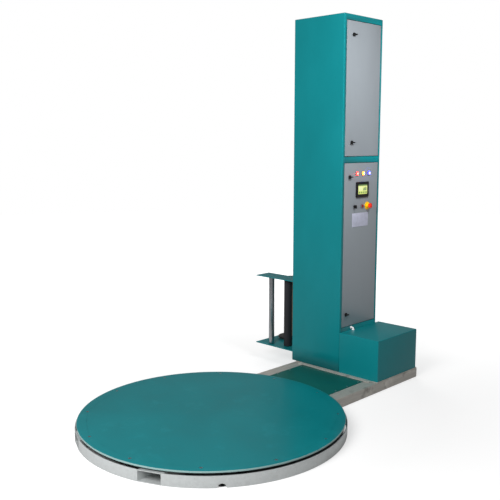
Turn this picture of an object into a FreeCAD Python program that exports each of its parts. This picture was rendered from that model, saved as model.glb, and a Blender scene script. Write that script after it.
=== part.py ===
import FreeCAD, Part
import math
import os

# Turntable pallet wrapper. Millimetres and degrees.
# Origin: centre of the turntable on the floor. +X runs along the arm to the mast,
# +Y away from the door side of the mast, +Z up.

# ---- driving dimensions: turntable and base ring ----
TABLE_DIAMETER = 1650.0
PLATE_THICKNESS = 10.0
PLATE_GAP = 12.0
TRACK_WIDTH = 140.0
TRACK_THICKNESS = 6.0
TRACK_INSET = 30.0
PLATE_SCREWS = 12
PLATE_SCREW_INSET = 45.0
RING_MARGIN = 10.0
RING_HEIGHT = 66.0
RING_WALL = 6.0
WINDOW_STRIP = 6.0                # what the drive window leaves of the ring above it
WINDOW_SECTIONS, BACK_SECTIONS, SIDE_SECTIONS = 3, 3, 5
NOTCH_RADIUS = 24.0
NOTCH_AZIMUTHS = (-129.3, -45.0, 45.0, 129.3)
FORK_SPACING = 676.0
FORK_TUBE_WIDTH = 133.0
FORK_TUBE_WALL = 4.0
SPOKE_HEIGHT = 20.0
SPOKE_WIDTH = 50.0
HUB_BEAM_WIDTH = 150.0
SUPPORT_ROLLERS = 6
ROLLER_RADIUS = 21.0
ROLLER_WIDTH = 38.0
ROLLER_AXLE_RADIUS = 6.0
POST_RADIUS = 25.0
BEARING_RADIUS = 45.0
BEARING_HEIGHT = 22.0
HUB_RADIUS = 62.0

# ---- driving dimensions: arm ----
ARM_WIDTH = 765.0
ARM_REACH = 905.0
RAIL_WIDTH = 100.0
RAIL_STEP = 4.0
RAIL_WALL = 5.0
BASE_PLATE_THICKNESS = 5.0
BASE_PLATE_LIP = 38.0
COVER_THICKNESS = 3.0

# ---- driving dimensions: mast, doors and drive cover ----
MAST_STANDOFF = 397.0
MAST_WIDTH = 457.0
MAST_DEPTH = 455.0
MAST_FRONT_Y = -35.0
MAST_TOP = 2634.0
MAST_WALL = 3.0
DOOR_LEFT_BORDER = 29.0
DOOR_RIGHT_BORDER = 23.0
TOP_BORDER = 44.0
UPPER_DOOR_BOTTOM = 1652.0
DOOR_DIVIDER = 50.0
LOWER_DOOR_BOTTOM = 405.0
DOOR_SHEET = 2.0
DOOR_DEPTH = 15.0
HINGE_INSET = 7.0
HINGE_PIN_RADIUS = 2.5
KNUCKLE_RADIUS = 5.5
KNUCKLE_LENGTH = 50.0
LUG_CLEAR = 1.5                   # the lug's reach past the pin, kept short of the open door's edge
COVER_LENGTH = 497.0
COVER_DEPTH = 343.0
COVER_TOP = 372.0
COVER_WALL = 3.0

# ---- driving dimensions: drives ----
CHAIN_PITCH = 15.875
CHAIN_WIDTH = 10.0
CHAIN_HEIGHT = 9.0
SPROCKET_THICKNESS = 7.0
TABLE_TEETH = 95
DRIVE_TEETH = 19
DRIVE_SHAFT_RADIUS = 12.5
GEARBOX_SIZE = 140.0
GEARBOX_HEIGHT = 130.0
MOTOR_RADIUS = 65.0
LIFT_SHAFT_RADIUS = 10.0

# ---- driving dimensions: lift and film carriage ----
SLOT_WIDTH = 130.0
SLOT_BOTTOM = 200.0
SLOT_TOP = 2470.0
GUIDE_RAIL_SIZE = 30.0
GUIDE_RAIL_OFFSET = 105.0
LIFT_TRAVEL = 1700.0
TROLLEY_BOTTOM = 262.0
TROLLEY_HEIGHT = 400.0
TROLLEY_PLATE = 8.0
CARRIAGE_BOTTOM = 130.0
CARRIAGE_HEIGHT = 560.0
CARRIAGE_WIDTH = 385.0
CARRIAGE_REACH = 400.0
CARRIAGE_SHEET = 6.0
TOP_TRAY_WIDTH = 150.0
MANDREL_RADIUS = 37.8
MANDREL_LENGTH = 500.0
MANDREL_FLANGE_RADIUS = 100.0
TENSION_ROLLER_RADIUS = 32.0
GUIDE_ROLLER_RADIUS = 22.0
CARRIAGE_AXLE_RADIUS = 8.0

# ---- driving dimensions: controls on the lower door (x from the mast's left face) ----
LAMP_ROW = 1526.0
LAMP_FIRST = 173.0
LAMP_PITCH = 73.0
LAMP_RADIUS = 12.0
BUTTON_ROW = 1286.0
SELECTOR_X = 150.0
PUSH_BUTTON_X = 243.0
ESTOP_X = 311.0
ESTOP_RADIUS = 20.0
SCREEN_LEFT = 185.0
SCREEN_BOTTOM = 1375.0
SCREEN_WIDTH = 111.0
SCREEN_HEIGHT = 70.0
BEZEL_SIDE = 19.5
BEZEL_FOOT = 24.0
NAME_PLATE_LEFT = 128.0
NAME_PLATE_BOTTOM = 1137.0
NAME_PLATE_WIDTH = 195.0
NAME_PLATE_HEIGHT = 100.0
LATCH_SHAFT_RADIUS = 8.0
LATCHES = {
    "upper_latch_top": (107.0, 2497.0),
    "upper_latch_bottom": (104.0, 1749.0),
    "lower_latch_top": (90.0, 1504.0),
    "lower_latch_bottom": (74.0, 495.0),
}

# ---- clearances ----
RUNNING = 0.05
SLIP = 0.3
SKIN = 0.1
DOOR_GAP = 4.0
GLIDE_GAP = 0.5

# ---- derived places shared by several pieces ----
table_r = TABLE_DIAMETER / 2
plate_bottom = RING_HEIGHT + PLATE_GAP
table_top = plate_bottom + PLATE_THICKNESS
track_bottom = plate_bottom - TRACK_THICKNESS
track_out_r = table_r - TRACK_INSET
track_mid_r = track_out_r - TRACK_WIDTH / 2
ring_r = table_r + RING_MARGIN
ring_in_r = ring_r - RING_WALL
fork_y = FORK_SPACING / 2
fork_in_y = fork_y - FORK_TUBE_WIDTH / 2
fork_out_y = fork_y + FORK_TUBE_WIDTH / 2
roller_z = track_bottom - SLIP - ROLLER_RADIUS
arm_y = ARM_WIDTH / 2
rail_height = RING_HEIGHT + RAIL_STEP
rail_in_y = arm_y - RAIL_WIDTH
arm_end = ring_r + ARM_REACH
base_top = rail_height + BASE_PLATE_THICKNESS
mast_x0 = ring_r + MAST_STANDOFF
mast_x1 = mast_x0 + MAST_WIDTH
mast_y0 = MAST_FRONT_Y
mast_y1 = mast_y0 + MAST_DEPTH
slot_x = mast_x0 + MAST_WIDTH / 2
door_x0 = mast_x0 + DOOR_LEFT_BORDER
door_x1 = mast_x1 - DOOR_RIGHT_BORDER
upper_door_top = MAST_TOP - TOP_BORDER
lower_door_top = UPPER_DOOR_BOTTOM - DOOR_DIVIDER
door_back = mast_y0 + DOOR_DEPTH
hinge_x = door_x1 - HINGE_INSET
hinge_y = mast_y0 + HINGE_INSET
table_pitch_r = CHAIN_PITCH / (2 * math.sin(math.pi / TABLE_TEETH))
drive_pitch_r = CHAIN_PITCH / (2 * math.sin(math.pi / DRIVE_TEETH))
tooth_rise = 0.3 * CHAIN_PITCH
chain_z = RING_HEIGHT - 16.0
cover_y0 = mast_y0 - COVER_DEPTH
drive_x = mast_x0 + COVER_LENGTH / 2
drive_y = mast_y0 - COVER_DEPTH / 2
lift_y = mast_y1 - 90.0
lift_low_z = base_top + 100.0
lift_high_z = TROLLEY_BOTTOM + TROLLEY_HEIGHT + LIFT_TRAVEL + 118.0
trolley_y = lift_y + 10.0
tray_x0 = slot_x - CARRIAGE_WIDTH / 2 - 13.0
tray_y0 = mast_y1 + 10.0
tray_floor = CARRIAGE_BOTTOM + CARRIAGE_SHEET
carriage_top = CARRIAGE_BOTTOM + CARRIAGE_HEIGHT
mandrel_x = slot_x + 70.0
mandrel_y = tray_y0 + 270.0
mandrel_foot = tray_floor + 14.0
tension_x = tray_x0 + 85.0
tension_y = tray_y0 + 130.0
guide_x = tray_x0 + 45.0
guide_y = tray_y0 + 270.0

X = FreeCAD.Vector(1, 0, 0)
Y = FreeCAD.Vector(0, 1, 0)
Z = FreeCAD.Vector(0, 0, 1)


# ---- small shape helpers ----
def point(x, y, z):
    return FreeCAD.Vector(x, y, z)


def box(x0, x1, y0, y1, z0, z1):
    return Part.makeBox(x1 - x0, y1 - y0, z1 - z0, point(x0, y0, z0))


def rod(base, axis, radius, length):
    return Part.makeCylinder(radius, length, base, axis)


def upright(x, y, radius, z0, z1):
    return rod(point(x, y, z0), Z, radius, z1 - z0)


def washer(x, y, inner, outer, z0, z1):
    return upright(x, y, outer, z0, z1).cut(upright(x, y, inner, z0, z1))


def turned(shape, degrees, centre=None, axis=None):
    copy = shape.copy()
    copy.rotate(centre or point(0, 0, 0), axis or Z, degrees)
    return copy


def fused(pieces):
    whole = pieces[0].multiFuse(pieces[1:])
    return whole.removeSplitter()


def group(pieces):
    return Part.makeCompound(pieces)


def square_tube_x(x0, x1, y0, y1, z0, z1, wall):
    return box(x0, x1, y0, y1, z0, z1).cut(box(x0, x1, y0 + wall, y1 - wall, z0 + wall, z1 - wall))


def sprocket_disc(teeth, pitch_radius, thickness):
    """Toothed disc in the XY plane from z = 0: each tooth is a flat-topped wedge one pitch wide."""
    root = pitch_radius - tooth_rise
    tip = pitch_radius + tooth_rise
    outline = []
    for tooth in range(teeth):
        for share, radius in ((-0.38, root), (-0.14, tip), (0.14, tip), (0.38, root)):
            angle = 2 * math.pi * (tooth + share) / teeth
            outline.append(point(radius * math.cos(angle), radius * math.sin(angle), 0))
    outline.append(outline[0])
    return Part.Face(Part.makePolygon(outline)).extrude(point(0, 0, thickness))


def belt_face(far_distance, near_radius, far_radius):
    """Flat outline of a band round two circles: near one at the origin, far one along +X."""
    lean = math.acos((near_radius - far_radius) / far_distance)
    near_up = point(near_radius * math.cos(lean), near_radius * math.sin(lean), 0)
    near_down = point(near_up.x, -near_up.y, 0)
    far_up = point(far_distance + far_radius * math.cos(lean), far_radius * math.sin(lean), 0)
    far_down = point(far_up.x, -far_up.y, 0)
    edges = [
        Part.LineSegment(near_up, far_up).toShape(),
        Part.Arc(far_up, point(far_distance + far_radius, 0, 0), far_down).toShape(),
        Part.LineSegment(far_down, near_down).toShape(),
        Part.Arc(near_down, point(-near_radius, 0, 0), near_up).toShape(),
    ]
    return Part.Face(Part.Wire(edges))


def chain_band(far_distance, near_pitch_radius, far_pitch_radius):
    """Closed chain as a band just outside the tooth tips, centred on z = 0."""
    near = near_pitch_radius + tooth_rise + SLIP
    far = far_pitch_radius + tooth_rise + SLIP
    outer = belt_face(far_distance, near + CHAIN_HEIGHT, far + CHAIN_HEIGHT)
    inner = belt_face(far_distance, near, far)
    band = outer.cut(inner).extrude(point(0, 0, CHAIN_WIDTH))
    band.translate(point(0, 0, -CHAIN_WIDTH / 2))
    return band


# ---- base ----
def ring_sections(ring):
    """The rolled sections that the ring is butt welded from: over the drive window, beside it, round each side, and between the pockets."""
    rail_edge = math.degrees(math.asin(rail_in_y / ring_r))
    side_edge = math.degrees(math.asin(fork_out_y / ring_r))
    pocket_edge = math.degrees(math.asin(fork_in_y / ring_in_r))
    spans = [(-rail_edge, rail_edge, WINDOW_SECTIONS), (180.0 - pocket_edge, 180.0 + pocket_edge, BACK_SECTIONS),
             (rail_edge, side_edge, 1), (-side_edge, -rail_edge, 1),
             (side_edge, 180.0 - side_edge, SIDE_SECTIONS), (180.0 + side_edge, 360.0 - side_edge, SIDE_SECTIONS)]
    sections = []
    for start, end, count in spans:
        width = (end - start) / count
        for number in range(count):
            wedge = Part.makeCylinder(ring_r + 1.0, RING_HEIGHT, point(0, 0, 0), Z, width)
            sections += ring.common(turned(wedge, start + number * width)).Solids
    return group(sections)


def base_ring():
    ring = washer(0, 0, ring_in_r, ring_r, 0, RING_HEIGHT)
    for side in (-1, 1):
        ring = ring.cut(box(-ring_r, 0, *sorted((side * fork_in_y, side * fork_out_y)), 0, RING_HEIGHT))
    window_top = RING_HEIGHT - WINDOW_STRIP
    ring = ring.cut(box(0, ring_r, -rail_in_y, rail_in_y, 0, window_top))
    for azimuth in NOTCH_AZIMUTHS:
        notch = rod(point(ring_in_r - 60.0, 0, 0), X, NOTCH_RADIUS, 120.0)
        ring = ring.cut(turned(notch, azimuth))
        tab = box(ring_in_r - 45.0, ring_in_r + 1.0, -20.0, 20.0, 40.0, 46.0)
        tab = tab.cut(upright(foot_r(), 0, 5.0 + SKIN, 40.0, 46.0))
        ring = ring.fuse(turned(tab, azimuth))
    return ring_sections(ring.removeSplitter())


def foot_r():
    return ring_in_r - 24.0


def levelling_feet():
    feet = []
    for azimuth in NOTCH_AZIMUTHS:
        foot = fused([upright(foot_r(), 0, 18.0, 0, 5.0), upright(foot_r(), 0, 5.0, 5.0, 60.0),
                      upright(foot_r(), 0, 9.0, 46.0, 52.0)])
        feet.append(turned(foot, azimuth))
    return group(feet)


def fork_tubes():
    """Each pocket is welded from a floor, a roof and two cheeks, open at the ring's back and butted to its inside at the front."""
    wall = FORK_TUBE_WALL
    plates = []
    for side in (-1, 1):
        low, high = sorted((side * fork_in_y, side * fork_out_y))
        for y0, y1, z0, z1 in ((low, high, 0, wall), (low, high, RING_HEIGHT - wall, RING_HEIGHT),
                               (low, low + wall, wall, RING_HEIGHT - wall), (high - wall, high, wall, RING_HEIGHT - wall)):
            back = box(-ring_r, 0, y0, y1, z0, z1).common(upright(0, 0, ring_r, 0, RING_HEIGHT))
            front = box(0, ring_r, y0, y1, z0, z1).common(upright(0, 0, ring_in_r - SLIP, 0, RING_HEIGHT))
            plates.append(fused([back, front]))
    return group(plates)


def base_spokes():
    inside = upright(0, 0, ring_in_r - SLIP, 0, SPOKE_HEIGHT)
    half = SPOKE_WIDTH / 2
    hub_beam = box(-HUB_BEAM_WIDTH / 2, HUB_BEAM_WIDTH / 2, -fork_in_y, fork_in_y, 0, SPOKE_HEIGHT)
    back_spoke = box(-ring_r, -HUB_BEAM_WIDTH / 2, -half, half, 0, SPOKE_HEIGHT).common(inside)
    arm_spoke = box(HUB_BEAM_WIDTH / 2, mast_x0 - BASE_PLATE_LIP, -half, half, 0, SPOKE_HEIGHT)
    pieces = [hub_beam, back_spoke, arm_spoke]
    for azimuth in (60, 120, 240, 300):
        spoke = turned(box(0, ring_r, -half, half, 0, SPOKE_HEIGHT), azimuth).common(inside)
        side = 1 if azimuth < 180 else -1
        low, high = sorted((side * fork_out_y, side * ring_r))
        pieces.append(spoke.common(box(-ring_r, ring_r, low, high, 0, SPOKE_HEIGHT)))
    return group(pieces)


def roller_brackets():
    brackets = []
    ear_in = ROLLER_WIDTH / 2 + 1.0
    ear_out = ear_in + 6.0
    for number in range(SUPPORT_ROLLERS):
        foot = box(-ear_out, ear_out, -22.0, 22.0, SPOKE_HEIGHT, SPOKE_HEIGHT + 4.0)
        foot = foot.cut(rod(point(-ear_in, 0, roller_z), X, ROLLER_RADIUS + 1.0, 2 * ear_in))
        ears = [box(*sorted((side * ear_in, side * ear_out)), -15.0, 15.0, SPOKE_HEIGHT, roller_z + 11.0)
                for side in (-1, 1)]
        axle = rod(point(-ear_out, 0, roller_z), X, ROLLER_AXLE_RADIUS, 2 * ear_out)
        bracket = fused([foot, *ears, axle])
        bracket.translate(point(track_mid_r, 0, 0))
        brackets.append(turned(bracket, number * 360.0 / SUPPORT_ROLLERS))
    return group(brackets)


def support_roller(number):
    start = point(track_mid_r - ROLLER_WIDTH / 2, 0, roller_z)
    roller = rod(start, X, ROLLER_RADIUS, ROLLER_WIDTH)
    roller = roller.cut(rod(start, X, ROLLER_AXLE_RADIUS + RUNNING, ROLLER_WIDTH))
    return turned(roller, (number - 1) * 360.0 / SUPPORT_ROLLERS)


def centre_post():
    return fused([upright(0, 0, 60.0, SPOKE_HEIGHT, SPOKE_HEIGHT + 10.0),
                  upright(0, 0, 35.0, SPOKE_HEIGHT + 10.0, bearing_foot()),
                  upright(0, 0, POST_RADIUS, bearing_foot(), plate_bottom - 6.0)])


def bearing_foot():
    return SPOKE_HEIGHT + 14.0


def centre_bearing():
    return washer(0, 0, POST_RADIUS + RUNNING, BEARING_RADIUS, bearing_foot(), bearing_foot() + BEARING_HEIGHT)


# ---- turntable ----
def turntable_hub():
    shoulder = bearing_foot() + BEARING_HEIGHT + SLIP
    collar = sprocket_top()
    body = fused([upright(0, 0, HUB_RADIUS, bearing_foot() + 2.0, plate_bottom),
                  upright(0, 0, 1.4 * HUB_RADIUS, collar, collar + 8.0),
                  upright(0, 0, 2 * HUB_RADIUS, plate_bottom - 8.0, plate_bottom)])
    body = body.cut(upright(0, 0, BEARING_RADIUS + RUNNING, 0, shoulder))
    return body.cut(upright(0, 0, POST_RADIUS + 5.0, 0, plate_bottom))


def sprocket_top():
    return chain_z + SPROCKET_THICKNESS / 2


def turntable_sprocket():
    disc = sprocket_disc(TABLE_TEETH, table_pitch_r, SPROCKET_THICKNESS)
    disc.translate(point(0, 0, chain_z - SPROCKET_THICKNESS / 2))
    disc = disc.cut(upright(0, 0, HUB_RADIUS + RUNNING, 0, table_top))
    window_r = (table_pitch_r + HUB_RADIUS) / 2 + 15.0
    for number in range(6):
        hole = upright(window_r, 0, 38.0, 0, table_top)
        disc = disc.cut(turned(hole, 60.0 * number))
    return disc


def screw_places():
    radius = table_r - PLATE_SCREW_INSET
    for number in range(PLATE_SCREWS):
        angle = math.radians(13.0 + 360.0 * number / PLATE_SCREWS)
        yield radius * math.cos(angle), radius * math.sin(angle)


def turntable_plate():
    plate = upright(0, 0, table_r, plate_bottom, table_top)
    for x, y in screw_places():
        sink = Part.makeCone(6.0 + SKIN, 10.0 + SKIN, 5.0, point(x, y, table_top - 5.0), Z)
        plate = plate.cut(sink).cut(upright(x, y, 6.0 + SKIN, plate_bottom, table_top))
    return plate


def roller_track():
    track = washer(0, 0, track_out_r - TRACK_WIDTH, track_out_r, track_bottom, plate_bottom)
    for x, y in screw_places():
        track = track.cut(upright(x, y, 6.0 + SKIN, track_bottom, plate_bottom))
    return track


def plate_screws():
    screws = []
    for x, y in screw_places():
        head = Part.makeCone(6.0, 9.6, 4.5, point(x, y, table_top - 5.0), Z)
        socket = upright(x, y, 3.0, table_top - 3.0, table_top)
        screws.append(fused([head, upright(x, y, 6.0, track_bottom + 1.0, table_top - 5.0)]).cut(socket))
    return group(screws)


# ---- arm ----
def arm_rails():
    rails = []
    for side in (-1, 1):
        low, high = sorted((side * rail_in_y, side * arm_y))
        rail = square_tube_x(0, arm_end, low, high, 0, rail_height, RAIL_WALL)
        cap = box(arm_end - RAIL_WALL, arm_end, low, high, 0, rail_height)
        rails.append(fused([rail, cap]).cut(upright(0, 0, ring_r + SLIP, 0, rail_height)))
    back = box(arm_end - 60.0, arm_end, -rail_in_y, rail_in_y, 0, rail_height)
    back = back.cut(box(arm_end - 55.0, arm_end - 5.0, -rail_in_y, rail_in_y, 5.0, rail_height - 5.0))
    front_x = mast_x0 - BASE_PLATE_LIP
    front = box(front_x, front_x + 60.0, -rail_in_y, rail_in_y, 0, 30.0)
    return group(rails + [back, front])


def arm_cover():
    cover = box(0, mast_x0 - BASE_PLATE_LIP, -rail_in_y, rail_in_y, rail_height - COVER_THICKNESS, rail_height)
    return cover.cut(upright(0, 0, ring_r + 3.0, 0, rail_height))


def mast_base_plate():
    plate = box(mast_x0, arm_end, -arm_y, arm_y, rail_height, base_top)
    lip_y = arm_y - RAIL_WIDTH / 2
    lip = box(mast_x0 - BASE_PLATE_LIP, mast_x0, -lip_y, lip_y, rail_height, base_top)
    return fused([plate, lip]).cut(upright(drive_x, drive_y, 2.4 * DRIVE_SHAFT_RADIUS, 0, base_top))


# ---- turntable drive ----
def drive_cover():
    x1 = mast_x0 + COVER_LENGTH
    shell = box(mast_x0, x1, cover_y0, mast_y0, base_top, COVER_TOP)
    hollow = box(mast_x0 + COVER_WALL, x1 - COVER_WALL, cover_y0 + COVER_WALL, mast_y0 - COVER_WALL,
                 base_top, COVER_TOP - COVER_WALL)
    shell = shell.cut(hollow)
    return shell.cut(upright(gland_x(), gland_y(), 7.0 + SKIN, COVER_TOP - 10.0, COVER_TOP))


def gearbox_top():
    return base_top + GEARBOX_HEIGHT


def drive_gearbox():
    half = GEARBOX_SIZE / 2
    body = box(drive_x - half, drive_x + half, drive_y - half, drive_y + half, base_top + 12.0, gearbox_top())
    body = body.makeFillet(8.0, [edge for edge in body.Edges if edge.BoundBox.ZLength > GEARBOX_HEIGHT / 2])
    foot = box(drive_x - half - 15.0, drive_x + half + 15.0, drive_y - half, drive_y + half,
               base_top, base_top + 12.0)
    body = fused([body, foot])
    return body.cut(upright(drive_x, drive_y, DRIVE_SHAFT_RADIUS + RUNNING, base_top, drive_shaft_top() + 1.0))


def drive_shaft_top():
    return base_top + 40.0


def drive_motor():
    base = gearbox_top()
    pieces = [upright(drive_x, drive_y, MOTOR_RADIUS + 5.0, base, base + 10.0),
              upright(drive_x, drive_y, MOTOR_RADIUS - 6.0, base + 10.0, COVER_TOP - 22.0)]
    fin_top = COVER_TOP - 50.0
    for number in range(24):
        fin = box(drive_x, drive_x + MOTOR_RADIUS, drive_y - 1.5, drive_y + 1.5, base + 10.0, fin_top)
        pieces.append(turned(fin, 15.0 * number, point(drive_x, drive_y, 0)))
    pieces.append(upright(drive_x, drive_y, MOTOR_RADIUS, fin_top, COVER_TOP - 22.0))
    return fused(pieces)


def drive_sprocket():
    disc = sprocket_disc(DRIVE_TEETH, drive_pitch_r, SPROCKET_THICKNESS)
    disc.translate(point(drive_x, drive_y, chain_z - SPROCKET_THICKNESS / 2))
    hub = upright(drive_x, drive_y, 2 * DRIVE_SHAFT_RADIUS, sprocket_top(), sprocket_top() + 14.0)
    shaft = upright(drive_x, drive_y, DRIVE_SHAFT_RADIUS, chain_z - 12.0, drive_shaft_top())
    return fused([disc, hub, shaft])


def drive_chain():
    band = chain_band(math.hypot(drive_x, drive_y), table_pitch_r, drive_pitch_r)
    band.translate(point(0, 0, chain_z))
    return turned(band, math.degrees(math.atan2(drive_y, drive_x)))


def gland_x():
    return mast_x0 + 141.0


def gland_y():
    return mast_y0 - 22.0


def cable_gland():
    x, y = gland_x(), gland_y()
    bend_z = (COVER_TOP + LOWER_DOOR_BOTTOM) / 2
    pieces = [upright(x, y, 7.0, COVER_TOP - COVER_WALL - 6.0, bend_z),
              upright(x, y, 10.0, COVER_TOP, COVER_TOP + 6.0),
              Part.makeSphere(8.0, point(x, y, bend_z)),
              rod(point(x, y, bend_z), Y, 7.0, mast_y0 - y + MAST_WALL + 6.0),
              rod(point(x, mast_y0 - 6.0, bend_z), Y, 10.0, 6.0)]
    return fused(pieces)


# ---- mast ----
def door_opening(bottom, top):
    return box(door_x0 - DOOR_GAP, door_x1 + DOOR_GAP, mast_y0, mast_y0 + MAST_WALL, bottom - DOOR_GAP, top + DOOR_GAP)


def door_stop(bottom, top):
    """Strip behind the latch edge of a door, which the turned cam locks behind."""
    front = door_back + GLIDE_GAP
    return box(mast_x0 + MAST_WALL / 2, door_x0 + 11.0, front, front + MAST_WALL, bottom, top)


def mast_shell():
    shell = box(mast_x0, mast_x1, mast_y0, mast_y1, base_top, MAST_TOP)
    hollow = box(mast_x0 + MAST_WALL, mast_x1 - MAST_WALL, mast_y0 + MAST_WALL, mast_y1 - MAST_WALL,
                 base_top, MAST_TOP - MAST_WALL)
    shell = shell.cut(hollow)
    shell = shell.cut(door_opening(UPPER_DOOR_BOTTOM, upper_door_top))
    shell = shell.cut(door_opening(LOWER_DOOR_BOTTOM, lower_door_top))
    half = SLOT_WIDTH / 2
    shell = shell.cut(box(slot_x - half, slot_x + half, mast_y1 - MAST_WALL, mast_y1, SLOT_BOTTOM, SLOT_TOP))
    shell = shell.cut(rod(point(gland_x(), mast_y0, (COVER_TOP + LOWER_DOOR_BOTTOM) / 2), Y, 7.0 + SKIN, MAST_WALL))
    stops = [door_stop(UPPER_DOOR_BOTTOM, upper_door_top), door_stop(LOWER_DOOR_BOTTOM, lower_door_top)]
    return fused([shell, *stops])


def guide_rails():
    rails = []
    y1 = mast_y1 - MAST_WALL
    for side in (-1, 1):
        x0 = slot_x + side * GUIDE_RAIL_OFFSET - GUIDE_RAIL_SIZE / 2
        x1 = x0 + GUIDE_RAIL_SIZE
        rail = box(x0, x1, y1 - GUIDE_RAIL_SIZE, y1, base_top, MAST_TOP - MAST_WALL)
        wall = MAST_WALL
        rail = rail.cut(box(x0 + wall, x1 - wall, y1 - GUIDE_RAIL_SIZE + wall, y1 - wall, base_top, MAST_TOP))
        rails.append(rail)
    return group(rails)


def hinge_heights(bottom, top):
    return bottom + 130.0, top - 130.0


def hinge_bracket(z):
    """Pin between two lugs; each lug reaches back from the pin and then across to the mast's side."""
    half = KNUCKLE_LENGTH / 2
    pieces = [upright(hinge_x, hinge_y, HINGE_PIN_RADIUS, z - half - 6.0, z + half + 6.0)]
    for z0 in (z - half - 6.0, z + half + 1.0):
        z1 = z0 + 5.0
        pieces.append(upright(hinge_x, hinge_y, 4.0, z0, z1))
        pieces.append(box(hinge_x - 4.0, hinge_x + LUG_CLEAR, hinge_y, hinge_y + 22.0, z0, z1))
        pieces.append(box(hinge_x - 4.0, mast_x1 - MAST_WALL, hinge_y + 14.0, hinge_y + 22.0, z0, z1))
    side = mast_x1 - MAST_WALL
    pieces.append(box(side - 3.0, side, hinge_y + 14.0, hinge_y + 34.0, z - half - 15.0, z + half + 15.0))
    return fused(pieces)


def hinge_brackets():
    heights = hinge_heights(UPPER_DOOR_BOTTOM, upper_door_top) + hinge_heights(LOWER_DOOR_BOTTOM, lower_door_top)
    return group([hinge_bracket(z) for z in heights])


def door_pan(bottom, top):
    """Sheet with returned edges and two knuckles near its right edge."""
    y0 = mast_y0
    sheet = box(door_x0, door_x1, y0, y0 + DOOR_SHEET, bottom, top)
    hinge_return = hinge_x - 2 * HINGE_INSET
    sides = [box(door_x0, door_x0 + DOOR_SHEET, y0, door_back, bottom, top),
             box(hinge_return, hinge_return + DOOR_SHEET, y0, door_back, bottom, top),
             box(door_x0, hinge_return, y0, door_back, bottom, bottom + DOOR_SHEET),
             box(door_x0, hinge_return, y0, door_back, top - DOOR_SHEET, top)]
    half = KNUCKLE_LENGTH / 2
    knuckles = [upright(hinge_x, hinge_y, KNUCKLE_RADIUS, z - half, z + half) for z in hinge_heights(bottom, top)]
    pan = fused([sheet, *sides, *knuckles])
    return pan.cut(upright(hinge_x, hinge_y, HINGE_PIN_RADIUS + RUNNING, bottom, top))


def latch_holes(door, names):
    for name in names:
        across, z = LATCHES[name]
        hole = rod(point(mast_x0 + across, mast_y0, z), Y, LATCH_SHAFT_RADIUS + SKIN, DOOR_SHEET)
        door = door.cut(hole)
    return door


def upper_door():
    return latch_holes(door_pan(UPPER_DOOR_BOTTOM, upper_door_top), ("upper_latch_top", "upper_latch_bottom"))


def lower_door():
    door = latch_holes(door_pan(LOWER_DOOR_BOTTOM, lower_door_top), ("lower_latch_top", "lower_latch_bottom"))
    for x, z, radius in panel_holes():
        door = door.cut(rod(point(x, mast_y0, z), Y, radius, DOOR_SHEET))
    x0, x1, z0, z1 = screen_back()
    return door.cut(box(x0 - SLIP, x1 + SLIP, mast_y0, mast_y0 + DOOR_SHEET, z0 - SLIP, z1 + SLIP))


def latch(name):
    """Wing knob outside, shaft through the door and a cam that hangs down until it is turned."""
    across, z = LATCHES[name]
    x = mast_x0 + across
    face = mast_y0 - SLIP
    cam_y = door_back + GLIDE_GAP + MAST_WALL + 1.0
    reach = across - DOOR_LEFT_BORDER - 3.0
    pieces = [rod(point(x, face - 6.0, z), Y, 14.0, 6.0),
              box(x - 20.0, x + 20.0, face - 20.0, face - 6.0, z - 4.5, z + 4.5),
              rod(point(x, face, z), Y, LATCH_SHAFT_RADIUS, cam_y + 5.0 - face),
              box(x - 9.0, x + 9.0, cam_y, cam_y + 4.0, z - reach, z)]
    return fused(pieces)


# ---- controls on the lower door ----
def lamp_places():
    return [(mast_x0 + LAMP_FIRST + number * LAMP_PITCH, LAMP_ROW) for number in range(3)]


def panel_holes():
    holes = [(x, z, LAMP_RADIUS - 1.0 + SKIN) for x, z in lamp_places()]
    holes.append((mast_x0 + SELECTOR_X, BUTTON_ROW, 8.0 + SKIN))
    holes.append((mast_x0 + PUSH_BUTTON_X, BUTTON_ROW, 7.0 + SKIN))
    holes.append((mast_x0 + ESTOP_X, BUTTON_ROW, 10.0 + SKIN))
    return holes


def lamp(number):
    x, z = lamp_places()[number]
    body = rod(point(x, mast_y0 - 3.0, z), Y, LAMP_RADIUS - 1.0, 38.0)
    front = rod(point(x, mast_y0 - 12.0, z), Y, LAMP_RADIUS, 12.0)
    rim = [edge for edge in front.Edges if edge.BoundBox.YMax < mast_y0 - 11.0]
    return fused([front.makeFillet(5.0, rim), body])


def collar(x, z, inner, outer, height):
    ring = rod(point(x, mast_y0 - height, z), Y, outer, height)
    return ring.cut(rod(point(x, mast_y0 - height, z), Y, inner, height))


def panel_collars():
    rings = [collar(x, z, LAMP_RADIUS + SKIN, LAMP_RADIUS + 3.0, 7.0) for x, z in lamp_places()]
    rings.append(collar(mast_x0 + SELECTOR_X, BUTTON_ROW, 8.0 + SKIN, 15.0, 6.0))
    rings.append(collar(mast_x0 + PUSH_BUTTON_X, BUTTON_ROW, 11.5 + SKIN, 15.0, 8.0))
    return group(rings)


def estop_collar():
    x = mast_x0 + ESTOP_X
    plate = collar(x, BUTTON_ROW, 10.0 + SKIN, 30.0, 3.0)
    boss = collar(x, BUTTON_ROW, 10.0 + SKIN, 15.0, 16.0)
    return fused([plate, boss])


def estop_button():
    x = mast_x0 + ESTOP_X
    stem = rod(point(x, mast_y0 - 24.0, BUTTON_ROW), Y, 10.0, 50.0)
    cap = rod(point(x, mast_y0 - 38.0, BUTTON_ROW), Y, ESTOP_RADIUS, 16.0)
    rim = [edge for edge in cap.Edges if edge.BoundBox.YMax < mast_y0 - 30.0]
    return fused([cap.makeFillet(7.0, rim), stem])


def push_button():
    x = mast_x0 + PUSH_BUTTON_X
    stem = rod(point(x, mast_y0 - 6.0, BUTTON_ROW), Y, 7.0, 32.0)
    return fused([rod(point(x, mast_y0 - 10.0, BUTTON_ROW), Y, 11.5, 6.0), stem])


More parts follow.
